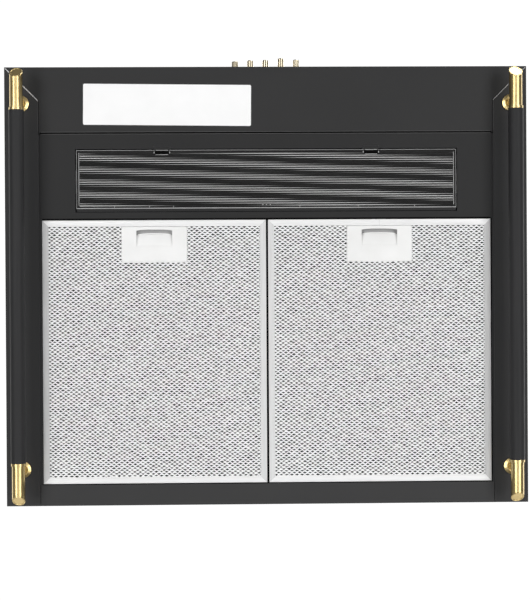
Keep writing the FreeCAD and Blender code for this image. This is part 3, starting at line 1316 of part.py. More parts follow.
# Checks before anything is written
faults = []
for obj in doc.Objects:
    if any(word in obj.State for word in ("Invalid", "Error")):
        faults.append(f"{obj.Label}: {obj.State}")
for obj in nodes:
    shape = obj.Shape
    if shape.isNull() or not shape.isValid() or not shape.Solids:
        faults.append(f"{obj.Label}: no valid solid")
if faults:
    raise SystemExit("\n".join(faults))

os.makedirs("parts", exist_ok=True)
for obj in nodes:
    obj.Shape.exportStep(f"parts/{obj.Label}.step")
print(len(nodes), "nodes written")
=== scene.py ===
import math

import bmesh
import bpy
from mathutils import Matrix, Vector


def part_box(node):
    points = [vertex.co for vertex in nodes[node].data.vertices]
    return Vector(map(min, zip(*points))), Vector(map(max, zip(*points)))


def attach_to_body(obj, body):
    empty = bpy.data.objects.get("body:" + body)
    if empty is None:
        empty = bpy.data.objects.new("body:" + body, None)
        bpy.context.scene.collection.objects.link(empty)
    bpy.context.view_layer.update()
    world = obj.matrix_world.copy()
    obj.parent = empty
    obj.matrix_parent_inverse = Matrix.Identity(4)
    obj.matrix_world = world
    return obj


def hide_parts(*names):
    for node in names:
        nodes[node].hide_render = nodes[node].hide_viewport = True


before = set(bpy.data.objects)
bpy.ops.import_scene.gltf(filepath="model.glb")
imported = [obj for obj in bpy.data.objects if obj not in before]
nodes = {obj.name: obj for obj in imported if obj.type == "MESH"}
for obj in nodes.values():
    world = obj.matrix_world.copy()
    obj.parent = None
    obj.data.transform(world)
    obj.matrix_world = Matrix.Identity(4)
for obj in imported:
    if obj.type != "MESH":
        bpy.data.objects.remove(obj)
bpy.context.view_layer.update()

# Chimney range hood seen from straight below. Lengths in the tables are millimetres, in the
# scene metres. The wall is y = 0, the front faces -Y and z = 0 is the rim's underside.
MM = 0.001
MERGE_DISTANCE = 1e-6
SIDES = {"left": -1, "right": 1}


def mm(*numbers):
    return Vector(numbers) * MM


def in_mm(node):
    """Lowest and highest corner of a node in millimetres."""
    low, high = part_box(node)
    return low * 1000, high * 1000


def new_object(name, data):
    made = bpy.data.objects.new(name, data)
    bpy.context.scene.collection.objects.link(made)
    return made


def add_node(tree, kind, inputs, settings):
    """A node with its settings; an input is a socket to link or a plain value."""
    made = tree.nodes.new(kind)
    for key, value in settings.items():
        setattr(made, key, value)
    for key, value in (inputs or {}).items():
        if isinstance(value, bpy.types.NodeSocket):
            tree.links.new(value, made.inputs[key])
        else:
            made.inputs[key].default_value = value
    return made


# Finishes: one Principled shader each, with texture nodes on the piece's own coordinates.
# Paler edges, partly wear and partly a painted highlight, show where a rounded normal turns from the true
# one: the cosines where they begin and are full.
WEAR_AND_GLINT_BEGINS, WEAR_AND_GLINT_IS_FULL = 0.985, 0.8
BEVEL_SAMPLES = 4
# A Mix node's sockets when it mixes colours
MIX_AMOUNT, MIX_FIRST, MIX_SECOND, MIX_RESULT = 0, 6, 7, 2


def grey(level):
    return (level, level, level)


class Finish:
    def __init__(self, name, **constants):
        self.material = bpy.data.materials.new(name)
        self.material.use_nodes = True
        self.tree = self.material.node_tree
        self.shader = self.tree.nodes["Principled BSDF"]
        for socket, value in constants.items():
            self.shader.inputs[socket.replace("_", " ")].default_value = value
        self.place = self.add("TexCoord").outputs["Object"]

    def add(self, kind, inputs=None, **settings):
        return add_node(self.tree, "ShaderNode" + kind, inputs, settings)

    def feed(self, **sockets):
        for key, socket in sockets.items():
            self.tree.links.new(socket, self.shader.inputs[key.replace("_", " ")])

    def stretched(self, x, y, z):
        return self.add("Mapping", {"Vector": self.place, "Scale": (x, y, z)}).outputs["Vector"]

    def noise(self, scale, detail=3.0, where=None):
        made = self.add("TexNoise", {"Vector": where or self.place, "Scale": scale, "Detail": detail})
        return made.outputs["Fac"]

    def ramp(self, amount, low, high, start=0.3, end=0.7):
        """A colour between two shades; a plain number is a grey."""
        made = self.add("ValToRGB", {"Fac": amount})
        stops = made.color_ramp.elements
        for stop, position, shade in zip(stops, (start, end), (low, high)):
            stop.position = position
            stop.color = (*(shade if isinstance(shade, tuple) else grey(shade)), 1)
        return made.outputs["Color"]

    def mix(self, amount, first, second):
        """A colour socket turned towards a second, plain colour."""
        made = self.add("Mix", {
            MIX_AMOUNT: amount, MIX_FIRST: first, MIX_SECOND: (*second, 1)}, data_type="RGBA")
        return made.outputs[MIX_RESULT]

    def rounded_normal(self, radius):
        """The normal as if edges were rounded by that many millimetres."""
        return self.add("Bevel", {"Radius": radius * MM}, samples=BEVEL_SAMPLES).outputs["Normal"]

    def edges(self, radius):
        """1 along edges of about that radius in millimetres, 0 on flat faces; it places paler wear that is
        also a painted edge highlight.
        """
        flat = self.add("NewGeometry").outputs["Normal"]
        turn = self.add("VectorMath", {0: self.rounded_normal(radius), 1: flat}, operation="DOT_PRODUCT")
        made = self.add("MapRange", {
            "Value": turn.outputs["Value"], "From Min": WEAR_AND_GLINT_BEGINS, "From Max": WEAR_AND_GLINT_IS_FULL,
            "To Min": 0.0, "To Max": 1.0})
        return made.outputs["Result"]

    def relief(self, height, strength, depth, rounding=0.0):
        made = self.add("Bump", {"Height": height, "Strength": strength, "Distance": depth * MM})
        if rounding:
            self.tree.links.new(self.rounded_normal(rounding), made.inputs["Normal"])
        self.feed(Normal=made.outputs["Normal"])


def one_pattern(name, noise, tones, gloss, relief, stretch=None, **constants):
    """A finish whose colour, gloss and relief all follow the same noise."""
    made = Finish(name, **constants)
    pattern = made.noise(*noise, made.stretched(*stretch) if stretch else None)
    made.feed(Base_Color=made.ramp(pattern, *tones), Roughness=made.ramp(pattern, *gloss))
    made.relief(pattern, *relief)
    return made.material


def charcoal_paint(name, shade):
    """Satin stoved paint: faint orange peel, cloudy gloss, rubbed edges that are paler as wear and as a
    painted highlight.
    """
    made = Finish(name, IOR=1.5, Specular_IOR_Level=0.2)
    cloud = made.noise(7, 4)
    peel = made.noise(900, 2)
    dark, light = (tuple(shade * level * tint for tint in (1, 1, 1.02)) for level in (0.92, 1.08))
    paint = made.ramp(cloud, dark, light)
    rubbed_and_lit = made.mix(made.edges(0.7), paint, (0.06, 0.06, 0.063))
    made.feed(Base_Color=rubbed_and_lit, Roughness=made.ramp(cloud, 0.44, 0.56))
    made.relief(peel, 0.12, 0.05, rounding=0.5)
    return made.material


def black_gloss():
    """Black enamel on a drawn tube, with faint lengthwise streaks."""
    made = Finish("black_gloss", IOR=1.5, Specular_IOR_Level=0.16)
    streaks = made.noise(60, 3, made.stretched(4, 0.15, 4))
    made.feed(
        Base_Color=made.ramp(streaks, (0.023, 0.023, 0.024), (0.029, 0.029, 0.030)),
        Roughness=made.ramp(streaks, 0.5, 0.58))
    made.relief(made.noise(700), 0.05, 0.03, rounding=0.4)
    return made.material


# Tarnished, clean and rubbed brass; the rubbed tone on the edges is partly wear and partly a painted
# highlight
RAIL_BRASS = [(0.62, 0.47, 0.205), (0.71, 0.55, 0.26), (0.86, 0.72, 0.42)]
PALE_BRASS = [(0.42, 0.37, 0.27), (0.50, 0.445, 0.335), (0.64, 0.58, 0.46)]


def brass(name, dull, polish, tones):
    """Turned brass: fine lathe lines round the rail, warm tarnish in patches, paler rubbed edges that are
    also a painted highlight.
    """
    made = Finish(name, Metallic=1.0)
    lines = made.noise(900, 2, made.stretched(0.15, 4, 0.15))
    patches = made.noise(45, 3)
    tarnished, clean, rubbed_and_lit = tones
    metal = made.ramp(patches, tarnished, clean)
    bright = made.mix(made.edges(0.5), metal, rubbed_and_lit)
    made.feed(Base_Color=bright, Roughness=made.ramp(lines, polish, dull))
    made.relief(lines, 0.03, 0.01, rounding=0.4)
    return made.material


# How the brushed grain is stretched on strips that run across the hood and along it
ACROSS_GRAIN, ALONG_GRAIN = (0.05, 1.2, 1), (1.2, 0.05, 1)


def aluminium(name, dark, light, grain):
    """Rolled aluminium sheet, brushed along its strip."""
    made = Finish(name, Metallic=0.35)
    brushed = made.noise(500, 3, made.stretched(*grain))
    metal = made.ramp(brushed, dark, light)
    bright = made.mix(made.edges(0.5), metal, grey(0.95))
    made.feed(Base_Color=bright, Roughness=made.ramp(made.noise(60, 3), 0.42, 0.52))
    made.relief(brushed, 0.05, 0.03)
    return made.material


def expanded_aluminium(name, dark, light):
    """Raw expanded aluminium: bright strands, a little dust of oxide."""
    made = Finish(name, Metallic=0.15)
    oxide = made.noise(220, 3)
    made.feed(Base_Color=made.ramp(oxide, dark, light), Roughness=made.ramp(oxide, 0.32, 0.5))
    made.relief(made.noise(900), 0.2, 0.05)
    return made.material


def latch_white():
    """Moulded light grey-white plastic with a fine spark-eroded grain."""
    made = Finish("latch_white", IOR=1.46)
    grain = made.noise(1500, 2)
    shade = made.ramp(made.noise(25), (0.80, 0.80, 0.79), (0.86, 0.86, 0.855))
    made.feed(
        Base_Color=made.mix(made.edges(0.5), shade, grey(0.92)),
        Roughness=made.ramp(grain, 0.38, 0.5))
    made.relief(grain, 0.08, 0.03, rounding=0.4)
    return made.material


def steel(name, dark, light, rough):
    """Sheet or spring steel with a spangled plating."""
    made = Finish(name, Metallic=1.0)
    cells = made.add("TexVoronoi", {"Vector": made.place, "Scale": 160.0})
    tone = made.ramp(cells.outputs["Color"], dark, light, 0.1, 0.9)
    bright = made.mix(made.edges(0.5), tone, (0.8, 0.8, 0.82))
    smear = made.noise(60, 4)
    made.feed(Base_Color=bright, Roughness=made.ramp(smear, rough, rough + 0.18))
    made.relief(smear, 0.05, 0.05)
    return made.material


def moulded(name, dark, light):
    """Moulded plastic with grain and paler rubbed edges, partly wear and partly a painted highlight."""
    made = Finish(name, IOR=1.46, Specular_IOR_Level=0.25)
    grain = made.noise(1100, 2)
    shade = made.ramp(made.noise(30), dark, light)
    paler = tuple(min(1.0, 1.3 * value) for value in light)
    made.feed(
        Base_Color=made.mix(made.edges(0.6), shade, paler),
        Roughness=made.ramp(grain, 0.42, 0.58))
    made.relief(grain, 0.15, 0.04, rounding=0.5)
    return made.material


# Bands of light painted into the lamp cover's ribs: spacing in millimetres, slope in degrees, where they
# start.
# A wave texture of scale 1 repeats every pi / 10 metres.
BAND_PITCH, BAND_SLOPE, BAND_PHASE = 13.9, 2.5, 3.22
BAND_SCALE = math.pi / 10 / (BAND_PITCH * MM)


def frosted_ribs():
    """Ribs of the lamp cover, with the sloping bands of light their crests would gather painted into their
    colour.
    """
    made = Finish("frosted_ribs", IOR=1.49, Specular_IOR_Level=0.3)
    sloping = made.add("Mapping", {"Vector": made.place, "Rotation": (0, 0, -math.radians(BAND_SLOPE))})
    bands = made.add("TexWave", {
        "Vector": sloping.outputs["Vector"], "Scale": BAND_SCALE, "Distortion": 0.5, "Detail": 1.0,
        "Detail Scale": 0.6, "Phase Offset": BAND_PHASE}, bands_direction="Y").outputs["Fac"]
    flow = made.noise(30, 3, made.stretched(0.12, 3, 1))
    glow = made.add("Math", {0: bands, 1: made.ramp(flow, 0.75, 1.1)}, operation="MULTIPLY").outputs[0]
    made.feed(
        Base_Color=made.ramp(glow, 0.015, (0.88, 0.88, 0.87), 0.16, 1.0),
        Roughness=made.ramp(flow, 0.3, 0.45))
    made.relief(flow, 0.1, 0.1)
    return made.material


def shaded_layers():
    """Painted shade: a dark sheet standing for the inner layers of the mesh pack, which lie in shadow."""
    made = Finish("shaded_layers", Metallic=0.4)
    cells = made.add("TexVoronoi", {"Vector": made.stretched(1, 0.6, 1), "Scale": 330.0})
    tone = made.ramp(cells.outputs["Distance"], 0.10, 0.02, 0.1, 0.6)
    made.feed(Base_Color=tone, Roughness=made.ramp(made.noise(90), 0.5, 0.7))
    made.relief(cells.outputs["Distance"], 0.4, 0.3)
    return made.material


def label_film():
    """Blank white label film with a soft paper tooth."""
    made = Finish("label_film", IOR=1.45)
    tooth = made.noise(800, 4)
    made.feed(
        Base_Color=made.ramp(made.noise(35, 4), 0.88, 0.91),
        Roughness=made.ramp(tooth, 0.45, 0.62))
    made.relief(tooth, 0.06, 0.02)
    return made.material


FINISHES = {
    "charcoal_paint": charcoal_paint("charcoal_paint", 0.0245),
    "black_gloss": black_gloss(),
    "brass": brass("brass", 0.34, 0.27, RAIL_BRASS),
    "aluminium": aluminium("aluminium", 0.74, 0.80, ACROSS_GRAIN),
    "latch_white": latch_white(),
    "spring_steel": steel("spring_steel", (0.42, 0.42, 0.44), (0.60, 0.60, 0.62), 0.22),
    # Smoky acrylic with faint flow lines
    "clear_plastic": one_pattern(
        "clear_plastic", noise=(40, 3), tones=(0.08, 0.14), gloss=(0.08, 0.16), relief=(0.05, 0.1),
        stretch=(0.2, 1, 1), IOR=1.49, Transmission_Weight=0.85, Specular_IOR_Level=0.15),
    "zinc_steel": steel("zinc_steel", (0.36, 0.37, 0.38), (0.58, 0.59, 0.60), 0.34),
    # Glazed porcelain, slightly mottled
    "lamp_ceramic": one_pattern(
        "lamp_ceramic", noise=(90, 4), tones=((0.70, 0.68, 0.63), (0.82, 0.80, 0.76)),
        gloss=(0.2, 0.34), relief=(0.06, 0.1, 0.6), IOR=1.5, Coat_Weight=0.4),
    # Thin clear bulb glass with a faint haze
    "lamp_glass": one_pattern(
        "lamp_glass", noise=(50, 3), tones=((0.90, 0.90, 0.88), (0.97, 0.97, 0.96)),
        gloss=(0.04, 0.12), relief=(0.04, 0.1), IOR=1.45, Transmission_Weight=0.9),
    "black_plastic": moulded("black_plastic", (0.018, 0.018, 0.019), (0.03, 0.03, 0.031)),
    "white_plastic": moulded("white_plastic", (0.66, 0.66, 0.64), (0.76, 0.76, 0.74)),
}
# Darker copies of the frame's aluminium: painted shade on the side strips, which catch less light
SIDE_STRIP_SHADE = aluminium("side_strips_shaded", 0.50, 0.57, ALONG_GRAIN)
INNER_STRIP_SHADE = aluminium("inner_strips_shaded", 0.61, 0.68, ALONG_GRAIN)
MESH_FINISH = expanded_aluminium("expanded_aluminium", 0.93, 1.0)
# Near-black copy of the strand finish: painted shade on the deeper layer of strands
SHADED_MESH_FINISH = expanded_aluminium("second_layer_shaded", 0.02, 0.10)
DEPTH_SHADE_FINISH = shaded_layers()
RIB_LIGHT_FINISH = frosted_ribs()
# Pale lines on the lamp cover: painted highlights where its clear edges catch light
LINE_HIGHLIGHT_FINISH = moulded("acrylic_edge_highlights", grey(0.30), grey(0.42))
# Dull black with a faint bloom: painted shade in deep gaps, and the dark pads by the cover's clips
SHADOW_FINISH = one_pattern(
    "gap_black", noise=(120, 3), tones=(0.002, 0.005), gloss=(0.7, 0.9), relief=(0.1, 0.05),
    Specular_IOR_Level=0.02)
LABEL_FINISH = label_film()
# Raw cut sheet edge in a seam, slightly pitted; against the charcoal mitres its pale tone is also a painted
# highlight
BARE_EDGE_AND_GLINT_FINISH = one_pattern(
    "bare_edge", noise=(400, 4), tones=((0.42, 0.42, 0.43), 0.68), gloss=(0.35, 0.55),
    relief=(0.2, 0.05), Metallic=0.6)
# Pale strips along sheet edges and seams: painted edge highlights
EDGE_HIGHLIGHT_FINISH = moulded("edge_highlight_paint", grey(0.07), grey(0.10))
# Grey for the roof over the latch's finger recess: the white plastic darkened as painted shade
RECESS_SHADE_FINISH = moulded("recess_shaded_grey", grey(0.35), grey(0.41))
BUTTON_FINISH = brass("polished_brass", 0.12, 0.07, PALE_BRASS)
SATIN_FINISH = brass("satin_brass", 0.55, 0.45, PALE_BRASS)
# Darker and lighter copies of the one charcoal paint: painted shade on the lamp panel and the cover's tabs,
# painted light on the rear flange and the side panels
PANEL_SHADE_PAINT = charcoal_paint("lamp_panel_paint_shaded", 0.0185)
REAR_LIGHT_PAINT = charcoal_paint("rear_flange_paint_lit", 0.035)
SIDE_LIGHT_PAINT = charcoal_paint("side_panel_paint_lit", 0.030)
TRAY_FINISH = moulded("dark_enamel", (0.012, 0.012, 0.013), (0.02, 0.02, 0.021))

# Solids whose finish differs from that of their material slot; the panels' copies of the charcoal paint
# carry painted light and shade
NODE_FINISHES = {
    "lamp_tray": TRAY_FINISH, "lamp_panel": PANEL_SHADE_PAINT, "back_panel": REAR_LIGHT_PAINT,
    "left_side_panel": SIDE_LIGHT_PAINT, "right_side_panel": SIDE_LIGHT_PAINT, "push_button_1": SATIN_FINISH,
    **{f"push_button_{number}": BUTTON_FINISH for number in (2, 3, 4, 5)},
}
for name, node in nodes.items():
    slot = node.material_slots[0]
    slot.material = NODE_FINISHES.get(name) or FINISHES[slot.material.name.split(".")[0]]


# Pieces: meshes in the hood's own frame, riding on the body they belong to
def smooth(mesh, degrees=35):
    """Smooth shading, with edges steeper than that kept sharp."""
    work = bmesh.new()
    work.from_mesh(mesh)
    limit = math.radians(degrees)
    for face in work.faces:
        face.smooth = True
    for edge in work.edges:
        edge.smooth = len(edge.link_faces) == 2 and edge.calc_face_angle(0.0) < limit
    work.to_mesh(mesh)
    work.free()


def attach(made, body, replaced=()):
    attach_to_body(made, body)
    if replaced:
        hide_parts(*replaced)


def piece(name, work, finish, body, replaced=()):
    """Closes and cleans a bmesh, and makes it a piece of that body."""
    bmesh.ops.remove_doubles(work, verts=work.verts, dist=MERGE_DISTANCE)
    bmesh.ops.recalc_face_normals(work, faces=work.faces)
    mesh = bpy.data.meshes.new(name)
    work.to_mesh(mesh)
    work.free()
    smooth(mesh)
    mesh.materials.append(finish)
    made = new_object(name, mesh)
    attach(made, body, replaced)
    return made


def box(work, low, high):
    """A closed box between two corners in millimetres."""
    low, high = mm(*low), mm(*high)
    for vert in bmesh.ops.create_cube(work, size=1.0)["verts"]:
        vert.co = Vector(low[i] + (vert.co[i] + 0.5) * (high[i] - low[i]) for i in range(3))


def boxes(corner_pairs):
    work = bmesh.new()
    for low, high in corner_pairs:
        box(work, low, high)
    return work


def slab(work, x, half, y, z):
    """A box about a middle x, between two y and two z."""
    box(work, (x - half, y[0], z[0]), (x + half, y[1], z[1]))


def loft(work, rings, closed=False):
    """Quads between rings of as many points each; open ends get a cap."""
    rows = [[work.verts.new(point) for point in ring] for ring in rings]
    pairs = list(zip(rows, rows[1:]))
    if closed:
        pairs.append((rows[-1], rows[0]))
    for row, after in pairs:
        for i in range(len(row)):
            j = (i + 1) % len(row)
            work.faces.new((row[i], row[j], after[j], after[i]))
    if not closed:
        work.faces.new(rows[0][::-1])
        work.faces.new(rows[-1])


def prism(work, points, low, high):
    """An outline of (x, y) points in millimetres, raised from z low to z high."""
    loft(work, [[mm(x, y, z) for x, y in points] for z in (low, high)])


def strip(work, start, end, width, low, high):
    """A thin bar along a line on the underside, in millimetres."""
    along = (Vector(end) - Vector(start)).normalized()
    across = Vector((-along.y, along.x)) * width / 2
    points = [Vector(start) - across, Vector(end) - across, Vector(end) + across, Vector(start) + across]
    prism(work, [(p.x, p.y) for p in points], low, high)


def cross_strip(work, x, half, y, width, low, high):
    """A thin bar from side to side, about a middle x."""
    strip(work, (x - half, y), (x + half, y), width, low, high)


def settle(made):
    """Turns the evaluated piece into its plain mesh and drops its modifiers."""
    bpy.context.view_layer.update()
    result = bpy.data.meshes.new_from_object(made.evaluated_get(bpy.context.evaluated_depsgraph_get()))
    old = made.data
    made.modifiers.clear()
    made.data = result
    result.name = old.name
    bpy.data.meshes.remove(old)


class Tree:
    """A Geometry Nodes tree with named inputs."""

    def __init__(self, name, inputs):
        self.tree = bpy.data.node_groups.new(name, "GeometryNodeTree")
        self.keys = {}
        for label, kind in inputs:
            made = self.tree.interface.new_socket(label, in_out="INPUT", socket_type="NodeSocket" + kind)
            self.keys[label] = made.identifier
        self.tree.interface.new_socket("Geometry", in_out="OUTPUT", socket_type="NodeSocketGeometry")
        self.given = self.tree.nodes.new("NodeGroupInput").outputs
        self.out = self.tree.nodes.new("NodeGroupOutput")

    def add(self, kind, inputs=None, **settings):
        return add_node(self.tree, kind, inputs, settings).outputs

    def shape(self, kind, inputs=None, **settings):
        return self.add("GeometryNode" + kind, inputs, **settings)[0]

    def math(self, operation, first, second=0.0):
        return self.add("ShaderNodeMath", {0: first, 1: second}, operation=operation)[0]

    def vector(self, x=0.0, y=0.0, z=0.0):
        return self.add("ShaderNodeCombineXYZ", {0: x, 1: y, 2: z})[0]

    def parts(self, vector):
        return self.add("ShaderNodeSeparateXYZ", {0: vector})

    def end(self, geometry):
        real = self.shape("RealizeInstances", {0: geometry})
        done = self.shape("SetMaterial", {"Geometry": real, "Material": self.given["Finish"]})
        self.tree.links.new(done, self.out.inputs[0])

    def grow(self, work, values, points=(), attributes=None, finish_number=0):
        """Adds the tree's result to a bmesh, grown on points with vector attributes where it needs them."""
        mesh = bpy.data.meshes.new("grown")
        mesh.from_pydata(points, [], [])
        for label, vectors in (attributes or {}).items():
            stored = mesh.attributes.new(label, "FLOAT_VECTOR", "POINT")
            for item, vector in zip(stored.data, vectors):
                item.vector = vector
        made = new_object("grown", mesh)
        tool = made.modifiers.new("tree", "NODES")
        tool.node_group = self.tree
        for label, value in values.items():
            tool[self.keys[label]] = value
        settle(made)
        for face in made.data.polygons:
            face.material_index = finish_number
        work.from_mesh(made.data)
        bpy.data.objects.remove(made)


# Expanded mesh of the filters: zigzag strands in rows, in three layers, open where the latch sits
STRAND_INPUTS = [
    ("Columns", "Int"), ("Rows", "Int"), ("Pitch", "Float"), ("Row Pitch", "Float"), ("Swing", "Float"),
    ("Strand Width", "Float"), ("Strand Thickness", "Float"), ("Tilt", "Float"), ("Wobble", "Float"),
    ("Seed", "Float"), ("Corner", "Vector"), ("Bay Low", "Vector"), ("Bay High", "Vector"),
    ("Finish", "Material"),
]
WOBBLE_NOISE = 240.0
NOISE_MIDDLE, WOBBLE_SHARES = (0.5, 0.5, 0.5), (1.0, 1.0, 0.4)


def strand_tree():
    made = Tree("expanded_strands", STRAND_INPUTS)
    given = made.given
    half = made.math("MULTIPLY", given["Pitch"], 0.5)
    count = made.math("MULTIPLY_ADD", given["Columns"], 2.0)
    odd = made.math("MODULO", made.shape("InputIndex"), 2.0)
    swing = made.math("MULTIPLY", made.math("SUBTRACT", odd, 0.5), given["Swing"])
    line = made.shape("MeshLine", {"Count": count, "Offset": made.vector(x=half)})
    zigzag = made.shape("SetPosition", {"Geometry": line, "Offset": made.vector(y=swing)})
    curve = made.shape("MeshToCurve", {"Mesh": zigzag})
    turned = made.shape("SetCurveTilt", {"Curve": curve, "Tilt": given["Tilt"]})
    section = made.shape("CurvePrimitiveQuadrilateral", {
        "Width": given["Strand Width"], "Height": given["Strand Thickness"]})
    strand = made.shape("CurveToMesh", {"Curve": turned, "Profile Curve": section})
    rows = made.shape("MeshLine", {
        "Count": given["Rows"], "Offset": made.vector(y=given["Row Pitch"])})
    staggered = made.shape("SetPosition", {
        "Geometry": rows, "Offset": made.vector(x=made.math("MULTIPLY", odd, half))})
    laid = made.shape("InstanceOnPoints", {"Points": staggered, "Instance": strand})
    sheet = made.shape("RealizeInstances", {0: laid})
    moved = made.shape("Transform", {"Geometry": sheet, "Translation": given["Corner"]})
    place = made.shape("InputPosition")
    unrest = made.add("ShaderNodeTexNoise", {
        "Vector": place, "W": given["Seed"], "Scale": WOBBLE_NOISE, "Detail": 1.0}, noise_dimensions="4D")[1]
    push = made.add("ShaderNodeVectorMath", {0: unrest, 1: NOISE_MIDDLE}, operation="SUBTRACT")[0]
    push = made.add("ShaderNodeVectorMath", {0: push, 1: WOBBLE_SHARES}, operation="MULTIPLY")[0]
    push = made.add("ShaderNodeVectorMath", {0: push, "Scale": given["Wobble"]}, operation="SCALE")[0]
    uneven = made.shape("SetPosition", {"Geometry": moved, "Offset": push})
    here, low, high = (made.parts(v) for v in (place, given["Bay Low"], given["Bay High"]))
    inside = made.math("GREATER_THAN", here[0], low[0])
    for test in (
        made.math("LESS_THAN", here[0], high[0]), made.math("GREATER_THAN", here[1], low[1]),
        made.math("LESS_THAN", here[1], high[1]),
    ):
        inside = made.math("MULTIPLY", inside, test)
    cleared = made.shape("DeleteGeometry", {"Geometry": uneven, "Selection": inside})
    made.end(cleared)
    return made


MESH_PITCH = 6.06
# Rise above the pack's underside, row spacing, swing of the zigzag, shift in columns, tilt in radians,
# strand width, number of the finish: two layers seen from below and one that faces into the hood;
# finish 1 darkens the second layer's strands as painted shade
MESH_LAYERS = [
    (0.6, 2.2, 1.36, 0.0, 0.0, 1.5, 0),
    (3.5, 3.88, 1.9, 0.5, -0.3, 0.8, 1),
    (5.6, 3.88, 1.9, 0.0, 0.3, 2.6, 0),
]
MESH_SEEDS = {"left": 3.0, "right": 17.0}
STRAND_THICKNESS, STRAND_WOBBLE = 0.4, 2.6
# Where the first strand starts in the pack's corner, and the bay for the latch against its housing
FIRST_X, FIRST_Y = 0.8, 1.5
BAY_LOW_SHIFT, BAY_HIGH_SHIFT = (2.5, -9, 0), (-2.5, -2.6, 0)
# Dark sheet behind the strands, painted shade for the pack's deeper layers: heights, distance from the
# pack's edges and from the latch
DEPTH_Z = (6.2, 6.6)
DEPTH_INSET, DEPTH_GAP = 1.0, 0.6


def filter_meshes():
    tree = strand_tree()
    for side in SIDES:
        low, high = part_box(f"{side}_filter_mesh")
        bay_low, bay_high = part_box(f"{side}_latch_housing")
        work = bmesh.new()
        for layer, (rise, row, swing, shift, tilt, width, finish_number) in enumerate(MESH_LAYERS):
            tree.grow(work, {
                "Columns": int((high.x - low.x) / (MESH_PITCH * MM) - shift),
                "Rows": int((high.y - low.y) / (row * MM)),
                "Pitch": MESH_PITCH * MM, "Row Pitch": row * MM, "Swing": swing * MM,
                "Strand Width": width * MM, "Strand Thickness": STRAND_THICKNESS * MM, "Tilt": tilt,
                "Wobble": STRAND_WOBBLE * MM, "Seed": MESH_SEEDS[side] + layer,
                "Corner": low + mm(FIRST_X + shift * MESH_PITCH, FIRST_Y, rise),
                "Bay Low": bay_low + mm(*BAY_LOW_SHIFT), "Bay High": bay_high + mm(*BAY_HIGH_SHIFT),
                "Finish": MESH_FINISH,
            }, finish_number=finish_number)
        mesh = bpy.data.meshes.new(f"{side}_mesh")
        work.to_mesh(mesh)
        work.free()
        mesh.materials.append(MESH_FINISH)
        mesh.materials.append(SHADED_MESH_FINISH)
        made = new_object(f"{side}_expanded_mesh", mesh)
        attach(made, f"{side}_filter", [f"{side}_filter_mesh"])
        mesh_depth_shade(side)


def mesh_depth_shade(side):
    """The dark sheet of painted shade behind the strands, open where the latch sits."""
    low, high = in_mm(f"{side}_filter_mesh")
    bay_low, bay_high = in_mm(f"{side}_latch_housing")
    left, right = low.x + DEPTH_INSET, high.x - DEPTH_INSET
    front, rear = low.y + DEPTH_INSET, high.y - DEPTH_INSET
    behind = bay_high.y + DEPTH_GAP
    bottom, top = DEPTH_Z
    work = boxes([
        ((left, behind, bottom), (right, rear, top)),
        ((left, front, bottom), (bay_low.x - DEPTH_GAP, behind, top)),
        ((bay_high.x + DEPTH_GAP, front, bottom), (right, behind, top))])
    piece(f"{side}_mesh_depth_shade", work, DEPTH_SHADE_FINISH, f"{side}_filter")


# Blank label on the front flange
LABEL_X, LABEL_Y, LABEL_Z = -113.8, -459.5, (-0.12, 0.0)
LABEL_HALF_X, LABEL_HALF_Y, LABEL_CORNER = 96.2, 23.5, 1.5
LABEL_TURN = math.radians(0.6)


def label():
    work = bmesh.new()
    along, across = math.cos(LABEL_TURN), math.sin(LABEL_TURN)
    points = [
        (LABEL_X + x * along - y * across, LABEL_Y + x * across + y * along)
        for x, y in rounded(LABEL_HALF_X, LABEL_HALF_Y, LABEL_CORNER)]
    prism(work, points, *LABEL_Z)
    piece("blank_label", work, LABEL_FINISH, "hood")


# Filter frames: one folded channel section carried round with mitred corners, and two rear tabs
FRAME_SECTION = [
    (0, 10), (0, 1.7), (0.25, 1.25), (0.8, 1.0), (6.5, 1.5), (7.2, 1.75), (7.4, 2.1), (7.1, 2.35),
    (0.8, 1.85), (0.8, 9.2), (7.4, 9.2), (7.4, 10),
]
FILTER_REAR = -24.9
TAB_SPAN, TAB_HALF = 128.8, 8.0
TAB_Y, TAB_Z = (FILTER_REAR - 0.7, FILTER_REAR + 9), (1.1, 1.9)
# Slot for the latch tongue, and how far it reaches into the frame and into the latch plate
TONGUE_HALF, TONGUE_Z = 8.4, (6.6, 7.9)
SLOT_FRONT, FRAME_SLOT_REACH, PLATE_SLOT_REACH = -1.0, 7.4, 3.0
# Numbers of the finishes on the frame's side strips, darker copies that paint their shade
OUTER_STRIP, INNER_STRIP = 1, 2


def corners(low, high, inset, z, rear=None):
    """Four corners of a rectangle in millimetres, inset on its sides and separately at its rear."""
    back = high[1] - (inset if rear is None else rear)
    return [
        mm(low[0] + inset, low[1] + inset, z), mm(high[0] - inset, low[1] + inset, z),
        mm(high[0] - inset, back, z), mm(low[0] + inset, back, z)]


def cut(made, name, shape):
    """Takes a bmesh shape out of a piece."""
    mesh = bpy.data.meshes.new(name)
    bmesh.ops.recalc_face_normals(shape, faces=shape.faces)
    shape.to_mesh(mesh)
    shape.free()
    cutter = new_object(name, mesh)
    tool = made.modifiers.new("cut", "BOOLEAN")
    tool.object = cutter
    tool.solver = "EXACT"
    settle(made)
    bpy.data.objects.remove(cutter)
    bpy.data.meshes.remove(mesh)
    smooth(made.data)


def cut_slab(made, name, x, half, y, z):
    shape = bmesh.new()
    slab(shape, x, half, y, z)
    cut(made, name, shape)


